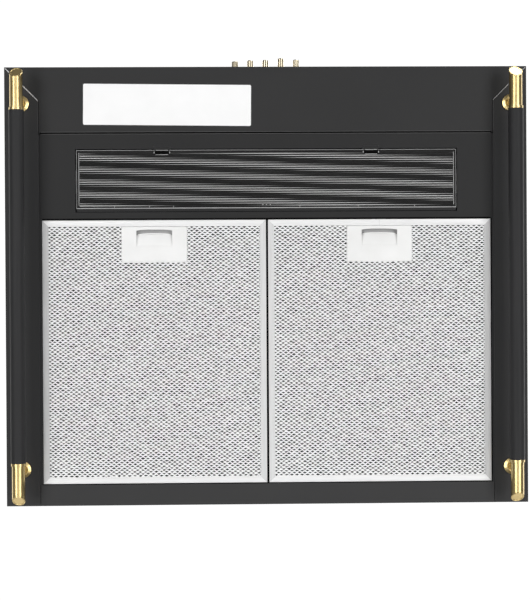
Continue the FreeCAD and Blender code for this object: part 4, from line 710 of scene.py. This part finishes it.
def filter_frames():
    for side in SIDES:
        low, high = in_mm(f"{side}_filter_frame")
        high.y = FILTER_REAR
        middle = (low.x + high.x) / 2
        work = bmesh.new()
        loft(work, [corners(low, high, inset, z) for inset, z in FRAME_SECTION], closed=True)
        for place in (-1, 1):
            slab(work, middle + place * TAB_SPAN / 2, TAB_HALF, TAB_Y, TAB_Z)
        made = piece(
            f"{side}_frame", work, FINISHES["aluminium"], f"{side}_filter",
            [f"{side}_filter_frame"])
        slot_y = (low.y + SLOT_FRONT, low.y + FRAME_SLOT_REACH)
        cut_slab(made, "tongue_slot", middle, TONGUE_HALF, slot_y, TONGUE_Z)
        # The side strips take the darker copies, as painted shade
        made.data.materials.append(SIDE_STRIP_SHADE)
        made.data.materials.append(INNER_STRIP_SHADE)
        for face in made.data.polygons:
            if abs(face.normal.x) > abs(face.normal.y):
                outside = abs(face.center.x) > abs(middle) * MM
                face.material_index = OUTER_STRIP if outside else INNER_STRIP
        frame_joints(side, low, high)


# Hairlines on the lips: distance from a corner and height at each end, and their section
HAIRLINE_ENDS = [(0.9, 1.0), (6.9, 1.56)]
HAIRLINE_HALF = 0.14
HAIRLINE_SECTION = [(-1, -0.04), (1, -0.04), (1, 0.04), (-1, 0.04)]


def frame_joints(side, low, high):
    """Hairlines at the four mitres, and at a join in the right filter's front strip."""
    lines = [
        ((low.x, low.y), (1, 1)), ((high.x, low.y), (-1, 1)),
        ((low.x, high.y), (1, -1)), ((high.x, high.y), (-1, -1))]
    if side == "right":
        lines.append((((low.x + high.x) / 2, low.y), (0, 1)))
    work = bmesh.new()
    for (x, y), (step_x, step_y) in lines:
        across = Vector((-step_y, step_x)).normalized() * HAIRLINE_HALF
        rings = []
        for inset, z in HAIRLINE_ENDS:
            middle = Vector((x + step_x * inset, y + step_y * inset))
            rings.append([mm(*(middle + across * turn), z + rise) for turn, rise in HAIRLINE_SECTION])
        loft(work, rings)
    piece(f"{side}_frame_joints", work, BARE_EDGE_AND_GLINT_FINISH, f"{side}_filter")


# Filter latches: a flush plate with an arched finger recess, and a slide that ramps up to it.
# The recess and the ledge in it bow forward by the arch, the slide a little more.
ARCH = 1.2
SLIDE_ARCH = ARCH * 1.2
RECESS_STEPS, SLIDE_STEPS = 16, 24
# The plate's rounded rim: inset and height
PLATE_RIM = [(0.5, 1.0), (0.12, 1.12), (0.0, 1.5), (0.0, 8.8)]
PLATE_CORNER = 1.6
# Distances in y count from the front of the plate, and for the ledge from the front of the slide
RECESS_HALF, RECESS_FRONT, RECESS_DEPTH, RECESS_Z = 20.5, 3.4, 19.0, (-4, 3)
HOLLOW_HALF, HOLLOW_WALL, HOLLOW_Z = 23.5, 1.0, (1.8, 8.0)
ROOF_HALF, ROOF_FRONT, ROOF_REAR, ROOF_Z = 23.0, 1.1, 13.0, (6.93, 7.02)
LEDGE_HALF, LEDGE_FRONT, LEDGE_REAR, LEDGE_Z = 19.2, -1.2, -0.06, (5.4, 6.95)
# Section of the slide: its nose from the bowed front, its ramp from the straight front, heights behind
SLIDE_NOSE = [(0.0, 6.7), (0.0, 5.6), (0.25, 5.1), (0.9, 4.75)]
SLIDE_RAMP = [(11.5, 2.35), (12.8, 2.15)]
SLIDE_BACK = [2.1, 6.7]


def bowed(x, half, front, rise, steps):
    """Points along an edge that bows forward in the middle."""
    shares = [2 * step / steps - 1 for step in range(steps + 1)]
    return [(x + half * share, front + rise * share ** 4) for share in shares]


def rounded(half_x, half_y, radius, steps=4):
    """Outline of a rectangle with rounded corners about its middle."""
    points = []
    for turn, (sx, sy) in enumerate(((1, 1), (-1, 1), (-1, -1), (1, -1))):
        for step in range(steps + 1):
            angle = math.radians(90 * turn + 90 * step / steps)
            points.append((
                sx * (half_x - radius) + radius * math.cos(angle),
                sy * (half_y - radius) + radius * math.sin(angle)))
    return points


def latches():
    for side in SIDES:
        low, high = in_mm(f"{side}_latch_housing")
        x = (low.x + high.x) / 2
        latch_plate(side, x, low, high)
        # The roof over the recess is grey painted shade
        roof = bmesh.new()
        slab(roof, x, ROOF_HALF, (low.y + ROOF_FRONT, low.y + ROOF_REAR), ROOF_Z)
        piece(f"{side}_recess_roof", roof, RECESS_SHADE_FINISH, f"{side}_filter")
        ledge = bmesh.new()
        front = in_mm(f"{side}_latch_slide")[0].y
        near = bowed(x, LEDGE_HALF, front + LEDGE_FRONT, ARCH, SLIDE_STEPS)
        far = bowed(x, LEDGE_HALF, front + LEDGE_REAR, SLIDE_ARCH, SLIDE_STEPS)
        prism(ledge, near + far[::-1], *LEDGE_Z)
        piece(f"{side}_recess_ledge", ledge, FINISHES["latch_white"], f"{side}_filter")
        latch_slide(side, x)


def latch_plate(side, x, low, high):
    """The plate with its finger recess, hollow and tongue slot cut out."""
    y = (low.y + high.y) / 2
    half_x, half_y = (high.x - low.x) / 2, (high.y - low.y) / 2
    work = bmesh.new()
    rings = []
    for inset, z in PLATE_RIM:
        shape = rounded(half_x - inset, half_y - inset, PLATE_CORNER - inset)
        rings.append([mm(x + px, y + py, z) for px, py in shape])
    loft(work, rings)
    made = piece(
        f"{side}_latch_plate", work, FINISHES["latch_white"], f"{side}_filter",
        [f"{side}_latch_housing"])
    window = bmesh.new()
    front = low.y + RECESS_FRONT
    back = [(x + turn * RECESS_HALF, front + RECESS_DEPTH) for turn in (1, -1)]
    prism(window, bowed(x, RECESS_HALF, front, ARCH, RECESS_STEPS) + back, *RECESS_Z)
    cut(made, "finger_recess", window)
    hollow_y = (low.y + HOLLOW_WALL, high.y - HOLLOW_WALL)
    cut_slab(made, "latch_hollow", x, HOLLOW_HALF, hollow_y, HOLLOW_Z)
    slot_y = (low.y + SLOT_FRONT, low.y + PLATE_SLOT_REACH)
    cut_slab(made, "plate_slot", x, TONGUE_HALF, slot_y, TONGUE_Z)


def latch_slide(side, x):
    low, high = in_mm(f"{side}_latch_slide")
    half = (high.x - low.x) / 2
    rings = []
    for px, front in bowed(x, half, low.y, SLIDE_ARCH, SLIDE_STEPS):
        section = [(front + y, z) for y, z in SLIDE_NOSE]
        section += [(low.y + y, z) for y, z in SLIDE_RAMP]
        section += [(high.y, z) for z in SLIDE_BACK]
        rings.append([mm(px, py, pz) for py, pz in section])
    work = bmesh.new()
    loft(work, rings)
    piece(
        f"{side}_latch_ramp", work, FINISHES["latch_white"], f"{side}_latch",
        [f"{side}_latch_slide"])


# Lamp cover: clear shell with edge walls, clips and pins; ribs outside, a coarser set inside
RIB_INPUTS = [
    ("Count", "Int"), ("Pitch", "Float"), ("Length", "Float"), ("Width", "Float"), ("Height", "Float"),
    ("Turn", "Vector"), ("Middle", "Vector"), ("Finish", "Material"),
]


def rib_tree():
    made = Tree("rib_rows", RIB_INPUTS)
    given = made.given
    half = made.math("MULTIPLY", given["Length"], 0.5)
    line = made.shape("CurvePrimitiveLine", {
        "Start": made.vector(x=made.math("MULTIPLY", half, -1.0)), "End": made.vector(x=half)})
    arc = made.shape("CurveArc", {
        "Resolution": 7, "Radius": 0.5, "Start Angle": 0.0, "Sweep Angle": math.pi})
    closed = made.shape("SetSplineCyclic", {"Geometry": arc, "Cyclic": True})
    scale = made.vector(given["Width"], made.math("MULTIPLY", given["Height"], 2.0), 1.0)
    section = made.shape("Transform", {"Geometry": closed, "Scale": scale})
    rib = made.shape("CurveToMesh", {
        "Curve": line, "Profile Curve": section, "Fill Caps": True})
    span = made.math("MULTIPLY", made.math("SUBTRACT", given["Count"], 1.0), given["Pitch"])
    start = made.vector(y=made.math("MULTIPLY", span, -0.5))
    rows = made.shape("MeshLine", {
        "Count": given["Count"], "Start Location": start, "Offset": made.vector(y=given["Pitch"])})
    laid = made.shape("InstanceOnPoints", {"Points": rows, "Instance": rib})
    real = made.shape("RealizeInstances", {0: laid})
    placed = made.shape("Transform", {
        "Geometry": real, "Rotation": given["Turn"], "Translation": given["Middle"]})
    made.end(placed)
    return made


def disc(work, middle, axis, radius, length, steps=20):
    """A round bar along an axis, in millimetres."""
    turn = Vector((0, 0, 1)).rotation_difference(Vector(axis)).to_matrix().to_4x4()
    bmesh.ops.create_cone(
        work, cap_ends=True, segments=steps, radius1=radius * MM, radius2=radius * MM,
        depth=length * MM, matrix=Matrix.Translation(mm(*middle)) @ turn)


COVER_LOW, COVER_HIGH = Vector((-218.5, -408.1, -1.2)), Vector((218.5, -339.1, 6.8))
COVER_MIDDLE = -373.6
# The shell's section: inset, height, inset at the rear
COVER_SECTION = [
    (0.5, -1.2, 2.4), (0.0, -0.7, 1.9), (0.0, 0.9, 0.0), (0.0, 6.8, 0.0), (1.8, 6.8, 1.8), (1.8, 0.8, 1.8)]
PIN_X, PIN_Y, PIN_Z, PIN_RADIUS, PIN_LENGTH = 220, -341.1, 2.8, 1.5, 4
# Lines and outer ribs stand down from just inside the cover's lower face
FACE_Z = -1.15
RIB_SETS = {
    "outer": {
        "Count": 25, "Pitch": 2.48 * MM, "Length": 428.8 * MM, "Width": 0.85 * MM, "Height": 0.8 * MM,
        "Turn": (0, 0, 0), "Middle": mm(0, COVER_MIDDLE, FACE_Z), "Finish": RIB_LIGHT_FINISH},
    "inner": {
        "Count": 20, "Pitch": 2.94 * MM, "Length": 428.0 * MM, "Width": 2.9 * MM, "Height": 0.8 * MM,
        "Turn": (math.pi, 0, math.radians(0.4)), "Middle": mm(0, COVER_MIDDLE, 0.75),
        "Finish": FINISHES["clear_plastic"]},
}


def lamp_cover():
    work = bmesh.new()
    loft(work, [corners(COVER_LOW, COVER_HIGH, *ring) for ring in COVER_SECTION])
    for x in (-PIN_X, PIN_X):
        disc(work, (x, PIN_Y, PIN_Z), (1, 0, 0), PIN_RADIUS, PIN_LENGTH)
    piece(
        "lamp_cover_shell", work, FINISHES["clear_plastic"], "lamp_cover",
        ["lamp_cover"])
    tree = rib_tree()
    for name, values in RIB_SETS.items():
        work = bmesh.new()
        tree.grow(work, values)
        piece(f"lamp_cover_{name}_ribs", work, values["Finish"], "lamp_cover")
    cover_lines()
    cover_clips()


# Lines along the cover's ends: inset, distance from the front and rear edge, width, lowest z
END_LINES = [(0.7, 0.9, 2.6, 0.35, -1.45), (3.4, 3.6, 4.8, 0.6, -1.9)]
# Lines across it, a thin one in front and the bright rear edge: y, width, lowest and highest z
CROSS_HALF = COVER_HIGH.x - 0.6
CROSS_LINES = [(COVER_LOW.y + 0.8, 0.4, -1.45, FACE_Z), (COVER_HIGH.y - 1.9, 0.9, FACE_Z, -0.4)]
# Short marks near the rear edge: places in x, start and end from that edge, width, lowest z
REAR_MARKS = [
    ((-174.6, -134.6, -107.0, 38.0, 105.0, 170.0), 4.4, 2.8, 0.6, -1.5),
    ((-4.6, -0.6, 4.0), 6.0, 4.8, 1.3, -2.0)]
# Clip tabs in front of the cover, and the dark pad behind each
CLIP_PLACES = (-120, 120)
CLIP_HALF, CLIP_Z = 9.3, (-0.1, 2.4)
CLIP_Y = (COVER_LOW.y - 3.8, COVER_LOW.y + 1)
PAD_HALF_X, PAD_HALF_Y, PAD_CORNER, PAD_Y, PAD_LOW = 8.2, 3.0, 0.6, COVER_LOW.y + 3.2, -1.97
# Pale lines before and behind each pad, and short ones at its ends
PAD_LINE_HALF, PAD_LINE_WIDTH, PAD_LINE_LOW = 7.2, 0.6, -2.0
PAD_LINE_Y = (COVER_LOW.y + 0.9, COVER_LOW.y + 5.9)
PAD_END_X, PAD_END_WIDTH, PAD_END_LOW = 8.9, 0.9, -1.7
PAD_END_Y = (COVER_LOW.y + 2.4, COVER_LOW.y + 4.4)
# Lip at the cover's rear
LIP_Y, LIP_Z = (COVER_HIGH.y - 1.4, COVER_HIGH.y + 1.85), (-0.2, 0.3)


def cover_lines():
    """Pale lines painted as highlights on the lamp cover's edges: a thin frame, bright rear edge, beads at
    the ribs' ends.
    """
    work = bmesh.new()
    for inset, front, rear, width, lowest in END_LINES:
        for x in (COVER_LOW.x + inset, COVER_HIGH.x - inset):
            strip(work, (x, COVER_LOW.y + front), (x, COVER_HIGH.y - rear), width, lowest, FACE_Z)
    for y, width, lowest, highest in CROSS_LINES:
        cross_strip(work, 0, CROSS_HALF, y, width, lowest, highest)
    for places, start, end, width, lowest in REAR_MARKS:
        for x in places:
            strip(work, (x, COVER_HIGH.y - start), (x, COVER_HIGH.y - end), width, lowest, FACE_Z)
    for x in CLIP_PLACES:
        for y in PAD_LINE_Y:
            cross_strip(work, x, PAD_LINE_HALF, y, PAD_LINE_WIDTH, PAD_LINE_LOW, FACE_Z)
        for end in (x - PAD_END_X, x + PAD_END_X):
            strip(work, (end, PAD_END_Y[0]), (end, PAD_END_Y[1]), PAD_END_WIDTH, PAD_END_LOW, FACE_Z)
    piece("lamp_cover_lines", work, LINE_HIGHLIGHT_FINISH, "lamp_cover")


def cover_clips():
    """Snap tabs in front of the lamp cover with their dark pads, and the lip at its rear."""
    tabs, pads = bmesh.new(), bmesh.new()
    for x in CLIP_PLACES:
        slab(tabs, x, CLIP_HALF, CLIP_Y, CLIP_Z)
        shape = [(x + px, PAD_Y + py) for px, py in rounded(PAD_HALF_X, PAD_HALF_Y, PAD_CORNER)]
        prism(pads, shape, PAD_LOW, FACE_Z)
    slab(tabs, 0, CROSS_HALF, LIP_Y, LIP_Z)
    piece("lamp_cover_tabs", tabs, PANEL_SHADE_PAINT, "lamp_cover")
    piece("lamp_cover_pads", pads, SHADOW_FINISH, "lamp_cover")


# Screws: domed heads with a cross recess, set where the solids' screws are
SCREW_INPUTS = [
    ("Seats", "Geometry"), ("Dome", "Float"), ("Slot Reach", "Float"), ("Slot Width", "Float"),
    ("Slot Depth", "Float"), ("Finish", "Material"),
]


def screw_tree():
    """A head and a shank of unit size on every seat, turned and scaled by the seat's attributes."""
    made = Tree("cross_recess_screws", SCREW_INPUTS)
    given = made.given
    blank = made.shape("MeshCylinder", {
        "Vertices": 24, "Side Segments": 4, "Radius": 1.0, "Depth": 1.0})
    x, y, z = made.parts(made.shape("InputPosition"))
    rise = made.math("ADD", z, 0.5)
    fall = made.math("MULTIPLY", made.math("POWER", rise, 2.0), given["Dome"])
    narrow = made.math("SUBTRACT", 1.0, fall)
    drawn_in = made.vector(made.math("MULTIPLY", x, narrow), made.math("MULTIPLY", y, narrow), rise)
    domed = made.shape("SetPosition", {"Geometry": blank, "Position": drawn_in})
    deep = made.math("MULTIPLY", given["Slot Depth"], 2.0)
    slots = []
    for sizes in ((given["Slot Reach"], given["Slot Width"]), (given["Slot Width"], given["Slot Reach"])):
        bar = made.shape("MeshCube", {"Size": made.vector(*sizes, deep)})
        slots.append(made.shape("Transform", {"Geometry": bar, "Translation": (0, 0, 1)}))
    head = made.shape("MeshBoolean", {"Mesh 1": domed}, operation="DIFFERENCE")
    for slot in slots:
        made.tree.links.new(slot, head.node.inputs["Mesh 2"])
    stem = made.shape("MeshCylinder", {"Vertices": 16, "Radius": 1.0, "Depth": 1.0})
    shank = made.shape("Transform", {"Geometry": stem, "Translation": (0, 0, -0.5)})
    read = {
        name: made.shape("InputNamedAttribute", {"Name": name}, data_type="FLOAT_VECTOR")
        for name in ("axis", "head", "shank")}
    turn = made.add("FunctionNodeAlignRotationToVector", {"Vector": read["axis"]}, axis="Z")[0]
    both = made.shape("JoinGeometry")
    for shape, size in ((head, read["head"]), (shank, read["shank"])):
        laid = made.shape("InstanceOnPoints", {
            "Points": given["Seats"], "Instance": shape, "Rotation": turn, "Scale": size})
        made.tree.links.new(laid, both.node.inputs[0])
    made.end(both)
    return made


SCREW_BODIES = {"body_screws": "hood", "rail_screws": "hood", "bracket_screws": "upper_chimney"}
# Shares of a head of radius 1 and height 1
SCREW_SHAPE = {"Dome": 0.28, "Slot Reach": 1.1, "Slot Width": 0.24, "Slot Depth": 0.5}
HEAD_HEIGHT = 2.2
SHANK_SHARE = 0.48
# A screw's points further out than this share of its radius belong to its head
RIM_SHARE = 0.9


def screw_seats(node):
    """Seat, axis, radius and shank length of each screw in a node, read from its separate solids."""
    work = bmesh.new()
    work.from_mesh(nodes[node].data)
    bmesh.ops.remove_doubles(work, verts=work.verts, dist=MERGE_DISTANCE)
    waiting = set(work.verts)
    seats = []
    while waiting:
        island = {waiting.pop()}
        edge = list(island)
        while edge:
            vert = edge.pop()
            fresh = {link.other_vert(vert) for link in vert.link_edges} - island
            island |= fresh
            edge.extend(fresh)
        waiting -= island
        seats.append(screw_seat([vert.co for vert in island]))
    work.free()
    return sorted(seats, key=lambda seat: tuple(round(value, 5) for value in seat[0]))


def screw_seat(points):
    """The same for one screw, from its points."""
    low = Vector(min(p[i] for p in points) for i in range(3))
    high = Vector(max(p[i] for p in points) for i in range(3))
    long = max(range(3), key=lambda i: high[i] - low[i])
    along = Vector(float(i == long) for i in range(3))
    radius = max((high - low)[i] for i in range(3) if i != long) / 2
    middle = (low + high) / 2
    rim = [
        p[long] for p in points
        if (p - middle - (p - middle)[long] * along).length > RIM_SHARE * radius]
    axis = along if sum(rim) / len(rim) > middle[long] else -along
    reach = (high - low)[long] / 2
    seat = middle + axis * (reach - HEAD_HEIGHT * MM)
    return seat, axis, radius, 2 * reach - HEAD_HEIGHT * MM


def screws():
    tree = screw_tree()
    for node, body in SCREW_BODIES.items():
        seats, axes, radii, lengths = zip(*screw_seats(node))
        stems = [SHANK_SHARE * radius for radius in radii]
        work = bmesh.new()
        tree.grow(work, {**SCREW_SHAPE, "Finish": FINISHES["zinc_steel"]}, seats, {
            "axis": axes,
            "head": [(radius, radius, HEAD_HEIGHT * MM) for radius in radii],
            "shank": [(stem, stem, length) for stem, length in zip(stems, lengths)],
        })
        piece(f"{node}_crossed", work, FINISHES["zinc_steel"], body, [node])


# Seams: raw sheet edges in the mitred corners, pale also as a painted highlight; a black strip of painted
# shade and pale strips of painted highlight along the lamp panel; black strips of painted shade round the
# filters.
# Mitres run from the rim's corner to the flange's, and the left one gapes more: width, lowest z
MITRE_OUTER, MITRE_INNER = (299.0, -501.8), (262.0, -464.8)
MITRE_EDGES = {"left": (0.9, -0.1), "right": (0.4, -0.05)}
RAW_LIT_TOP = 0.6
# Side flanges' inner edges: a raw nick at the corner, a pale strip of painted edge highlight behind it
FLANGE_EDGE = 261.9
NICK_START, NICK_END, NICK_WIDTH, NICK_LOW = -464.4, -464.0, 0.8, -0.06
HIGHLIGHT_START, HIGHLIGHT_END, HIGHLIGHT_WIDTH, HIGHLIGHT_LOW = -463.8, -430.0, 0.35, -0.04
SEAM_TOP = 0.5
# Seam in front of the lamp panel: a black strip of painted shade between two pale strips of painted edge
# highlight
SEAM_HALF, SEAM_Y, SEAM_WIDTH, SEAM_LOW = 259.5, -427.45, 1.7, -0.05
SEAM_EDGE_HALF, SEAM_EDGE_WIDTH, SEAM_EDGES_Y = 258.0, 0.4, (-426.3, -428.6)
# Black strips of painted shade in the gaps between the filters, in front of them and behind them, and one on
# each filter's edge
GAP_SHADE_STRIPS = [
    ((-0.6, -328.5, 0.6), (0.6, -24.2, 3.2)),
    ((-257.5, -329.4, -0.05), (257.5, -327.8, 0.95)),
    ((-257.5, -24.5, 0.2), (257.5, -23.7, 0.95)),
]
EDGE_GAP_SHADES = {
    "left": ((-1.2, -327.4, 0.93), (-0.75, -25.0, 9.0)),
    "right": ((0.75, -327.4, 0.93), (1.2, -25.0, 9.0)),
}
# Ledges on which the filters' outer sides rest
SIDE_RESTS = [
    ((-261.5, -426.0, 1.2), (-258.6, -24.2, 2.4)),
    ((259.6, -426.0, 1.2), (261.5, -24.2, 2.4)),
]


def seams():
    raw_lit, rubbed_and_lit, shadow = bmesh.new(), bmesh.new(), bmesh.new()
    for side, turn in SIDES.items():
        start, end = ((turn * x, y) for x, y in (MITRE_OUTER, MITRE_INNER))
        strip(raw_lit, start, end, *MITRE_EDGES[side], RAW_LIT_TOP)
    for x in (-FLANGE_EDGE, FLANGE_EDGE):
        strip(raw_lit, (x, NICK_START), (x, NICK_END), NICK_WIDTH, NICK_LOW, RAW_LIT_TOP)
        strip(rubbed_and_lit, (x, HIGHLIGHT_START), (x, HIGHLIGHT_END), HIGHLIGHT_WIDTH, HIGHLIGHT_LOW, SEAM_TOP)
    for y in SEAM_EDGES_Y:
        cross_strip(rubbed_and_lit, 0, SEAM_EDGE_HALF, y, SEAM_EDGE_WIDTH, HIGHLIGHT_LOW, SEAM_TOP)
    cross_strip(shadow, 0, SEAM_HALF, SEAM_Y, SEAM_WIDTH, SEAM_LOW, SEAM_TOP)
    piece("mitre_edges", raw_lit, BARE_EDGE_AND_GLINT_FINISH, "hood")
    piece("edge_highlights", rubbed_and_lit, EDGE_HIGHLIGHT_FINISH, "hood")
    piece("panel_seam_shade", shadow, SHADOW_FINISH, "hood")
    piece("filter_seals", boxes(GAP_SHADE_STRIPS), SHADOW_FINISH, "hood")
    for side, gap_shade in EDGE_GAP_SHADES.items():
        piece(f"{side}_edge_gap_shade", boxes([gap_shade]), SHADOW_FINISH, f"{side}_filter")
    piece("side_rests", boxes(SIDE_RESTS), FINISHES["charcoal_paint"], "hood")


# Brass rail ends: a turned rim round each slanted tip; its section is inset and height
RAIL_X, RAIL_Z = 281.4, -30.0
TIP_RADIUS, TIP_Y, TIP_SLOPE = 7.25, -492.3, 13 / 15.5
RIM_SECTION = [(0.3, -0.2), (0.55, 0.35), (1.5, 0.35), (1.8, -0.2)]
RIM_STEPS = 40
HOOD_MIDDLE = -251.5


def tip_rim(x, turn):
    """Rings of points round a tip: at the front for turn 1, at the wall for turn -1."""
    outward = Vector((0, -1, -TIP_SLOPE)).normalized()
    rings = []
    for inset, height in RIM_SECTION:
        ring = []
        for step in range(RIM_STEPS):
            angle = math.tau * step / RIM_STEPS
            across = (TIP_RADIUS - inset) * math.cos(angle)
            rise = (TIP_RADIUS - inset) * math.sin(angle)
            point = Vector((x + across, TIP_Y - TIP_SLOPE * rise, RAIL_Z + rise)) + outward * height
            point.y = HOOD_MIDDLE + (point.y - HOOD_MIDDLE) * turn
            ring.append(mm(*point))
        rings.append(ring)
    return rings


def rail_tips():
    work = bmesh.new()
    for x in (-RAIL_X, RAIL_X):
        for turn in (1, -1):
            loft(work, tip_rim(x, turn), closed=True)
    piece("rail_tip_rims", work, FINISHES["brass"], "hood")


filter_frames()
latches()
lamp_cover()
screws()
seams()
rail_tips()
filter_meshes()
label()

# Studio, in metres and watts: a pale floor far below that only the camera sees, soft boxes all
# round, and a white surround
FLOOR_HALF, FLOOR_Z = 14, -4.4
UNDERSIDE = (0, -0.25, 0)
# Place, aim, width, height, power
SOFT_BOXES = {
    "left_box": ((-1.78, -0.25, -2.5), UNDERSIDE, 2.6, 0.9, 41),
    "right_box": ((1.72, -0.25, -2.5), UNDERSIDE, 2.6, 0.9, 41),
    "front_low_box": ((0, -1.5, -2.6), UNDERSIDE, 1.6, 0.9, 13),
    "rear_low_box": ((0, 1.0, -2.6), UNDERSIDE, 1.6, 0.9, 13),
    "front_box": ((1.6, -4.0, 0.6), (0.1, -0.25, 0.2), 1.8, 1.8, 110),
    "top_box": ((0.3, -0.9, 2.4), (0, -0.25, 0.3), 1.8, 1.8, 90),
    "left_side_box": ((-3.0, -0.4, 2.4), (-0.2, -0.25, 0.3), 2.8, 2.4, 32),
    "right_side_box": ((3.0, 0.0, 2.4), (0.2, -0.25, 0.3), 2.8, 2.4, 45),
    "rear_box": ((0, 2.4, 0.62), (0, 0, 0.1), 2.4, 0.9, 8),
}
# Strength of the surround as light on the hood and as the camera sees it
SURROUND_LIGHT, SURROUND_SEEN = 0.16, 1.05


def studio_floor():
    mesh = bpy.data.meshes.new("floor")
    work = bmesh.new()
    bmesh.ops.create_grid(work, x_segments=1, y_segments=1, size=FLOOR_HALF)
    bmesh.ops.translate(work, vec=(0, 0, FLOOR_Z), verts=work.verts)
    work.to_mesh(mesh)
    work.free()
    pale = Finish("pale_floor", Roughness=0.8, Emission_Strength=0.55)
    tone = pale.ramp(pale.noise(2, 3), 0.80, 0.84)
    pale.feed(Base_Color=tone, Emission_Color=tone)
    mesh.materials.append(pale.material)
    floor = new_object("floor", mesh)
    floor.visible_diffuse = False
    floor.visible_glossy = False
    floor.visible_transmission = False


def soft_box(name, place, aim, width, height, power):
    light = bpy.data.lights.new(name, "AREA")
    light.shape = "RECTANGLE"
    light.size = width
    light.size_y = height
    light.energy = power
    made = new_object(name, light)
    made.location = place
    made.rotation_euler = (Vector(aim) - Vector(place)).to_track_quat("-Z", "Y").to_euler()
    made.visible_camera = False


def surround():
    world = bpy.data.worlds.new("studio")
    bpy.context.scene.world = world
    world.use_nodes = True
    sky = world.node_tree
    ground = sky.nodes["Background"]
    ground.inputs["Color"].default_value = (1, 1, 1, 1)
    seen = sky.nodes.new("ShaderNodeLightPath").outputs["Is Camera Ray"]
    level = sky.nodes.new("ShaderNodeMapRange")
    level.inputs["To Min"].default_value = SURROUND_LIGHT
    level.inputs["To Max"].default_value = SURROUND_SEEN
    sky.links.new(seen, level.inputs["Value"])
    sky.links.new(level.outputs["Result"], ground.inputs["Strength"])


studio_floor()
for name, values in SOFT_BOXES.items():
    soft_box(name, *values)
surround()
bpy.context.scene.view_settings.view_transform = "Standard"

# Camera below the hood, looking up: place in metres, turn in degrees, lens and sensor in millimetres
CAMERA_PLACE = (-0.0305, -0.2424, -1.4963)
CAMERA_TURN = (179.72, 1.086, 0.333)
FOCAL_LENGTH, SENSOR_WIDTH = 78.09, 36
VIEW_END = 50

camera = new_object("camera", bpy.data.cameras.new("camera"))
camera.location = CAMERA_PLACE
camera.rotation_euler = [math.radians(angle) for angle in CAMERA_TURN]
camera.data.sensor_width = SENSOR_WIDTH
camera.data.lens = FOCAL_LENGTH
camera.data.clip_end = VIEW_END
bpy.context.scene.camera = camera
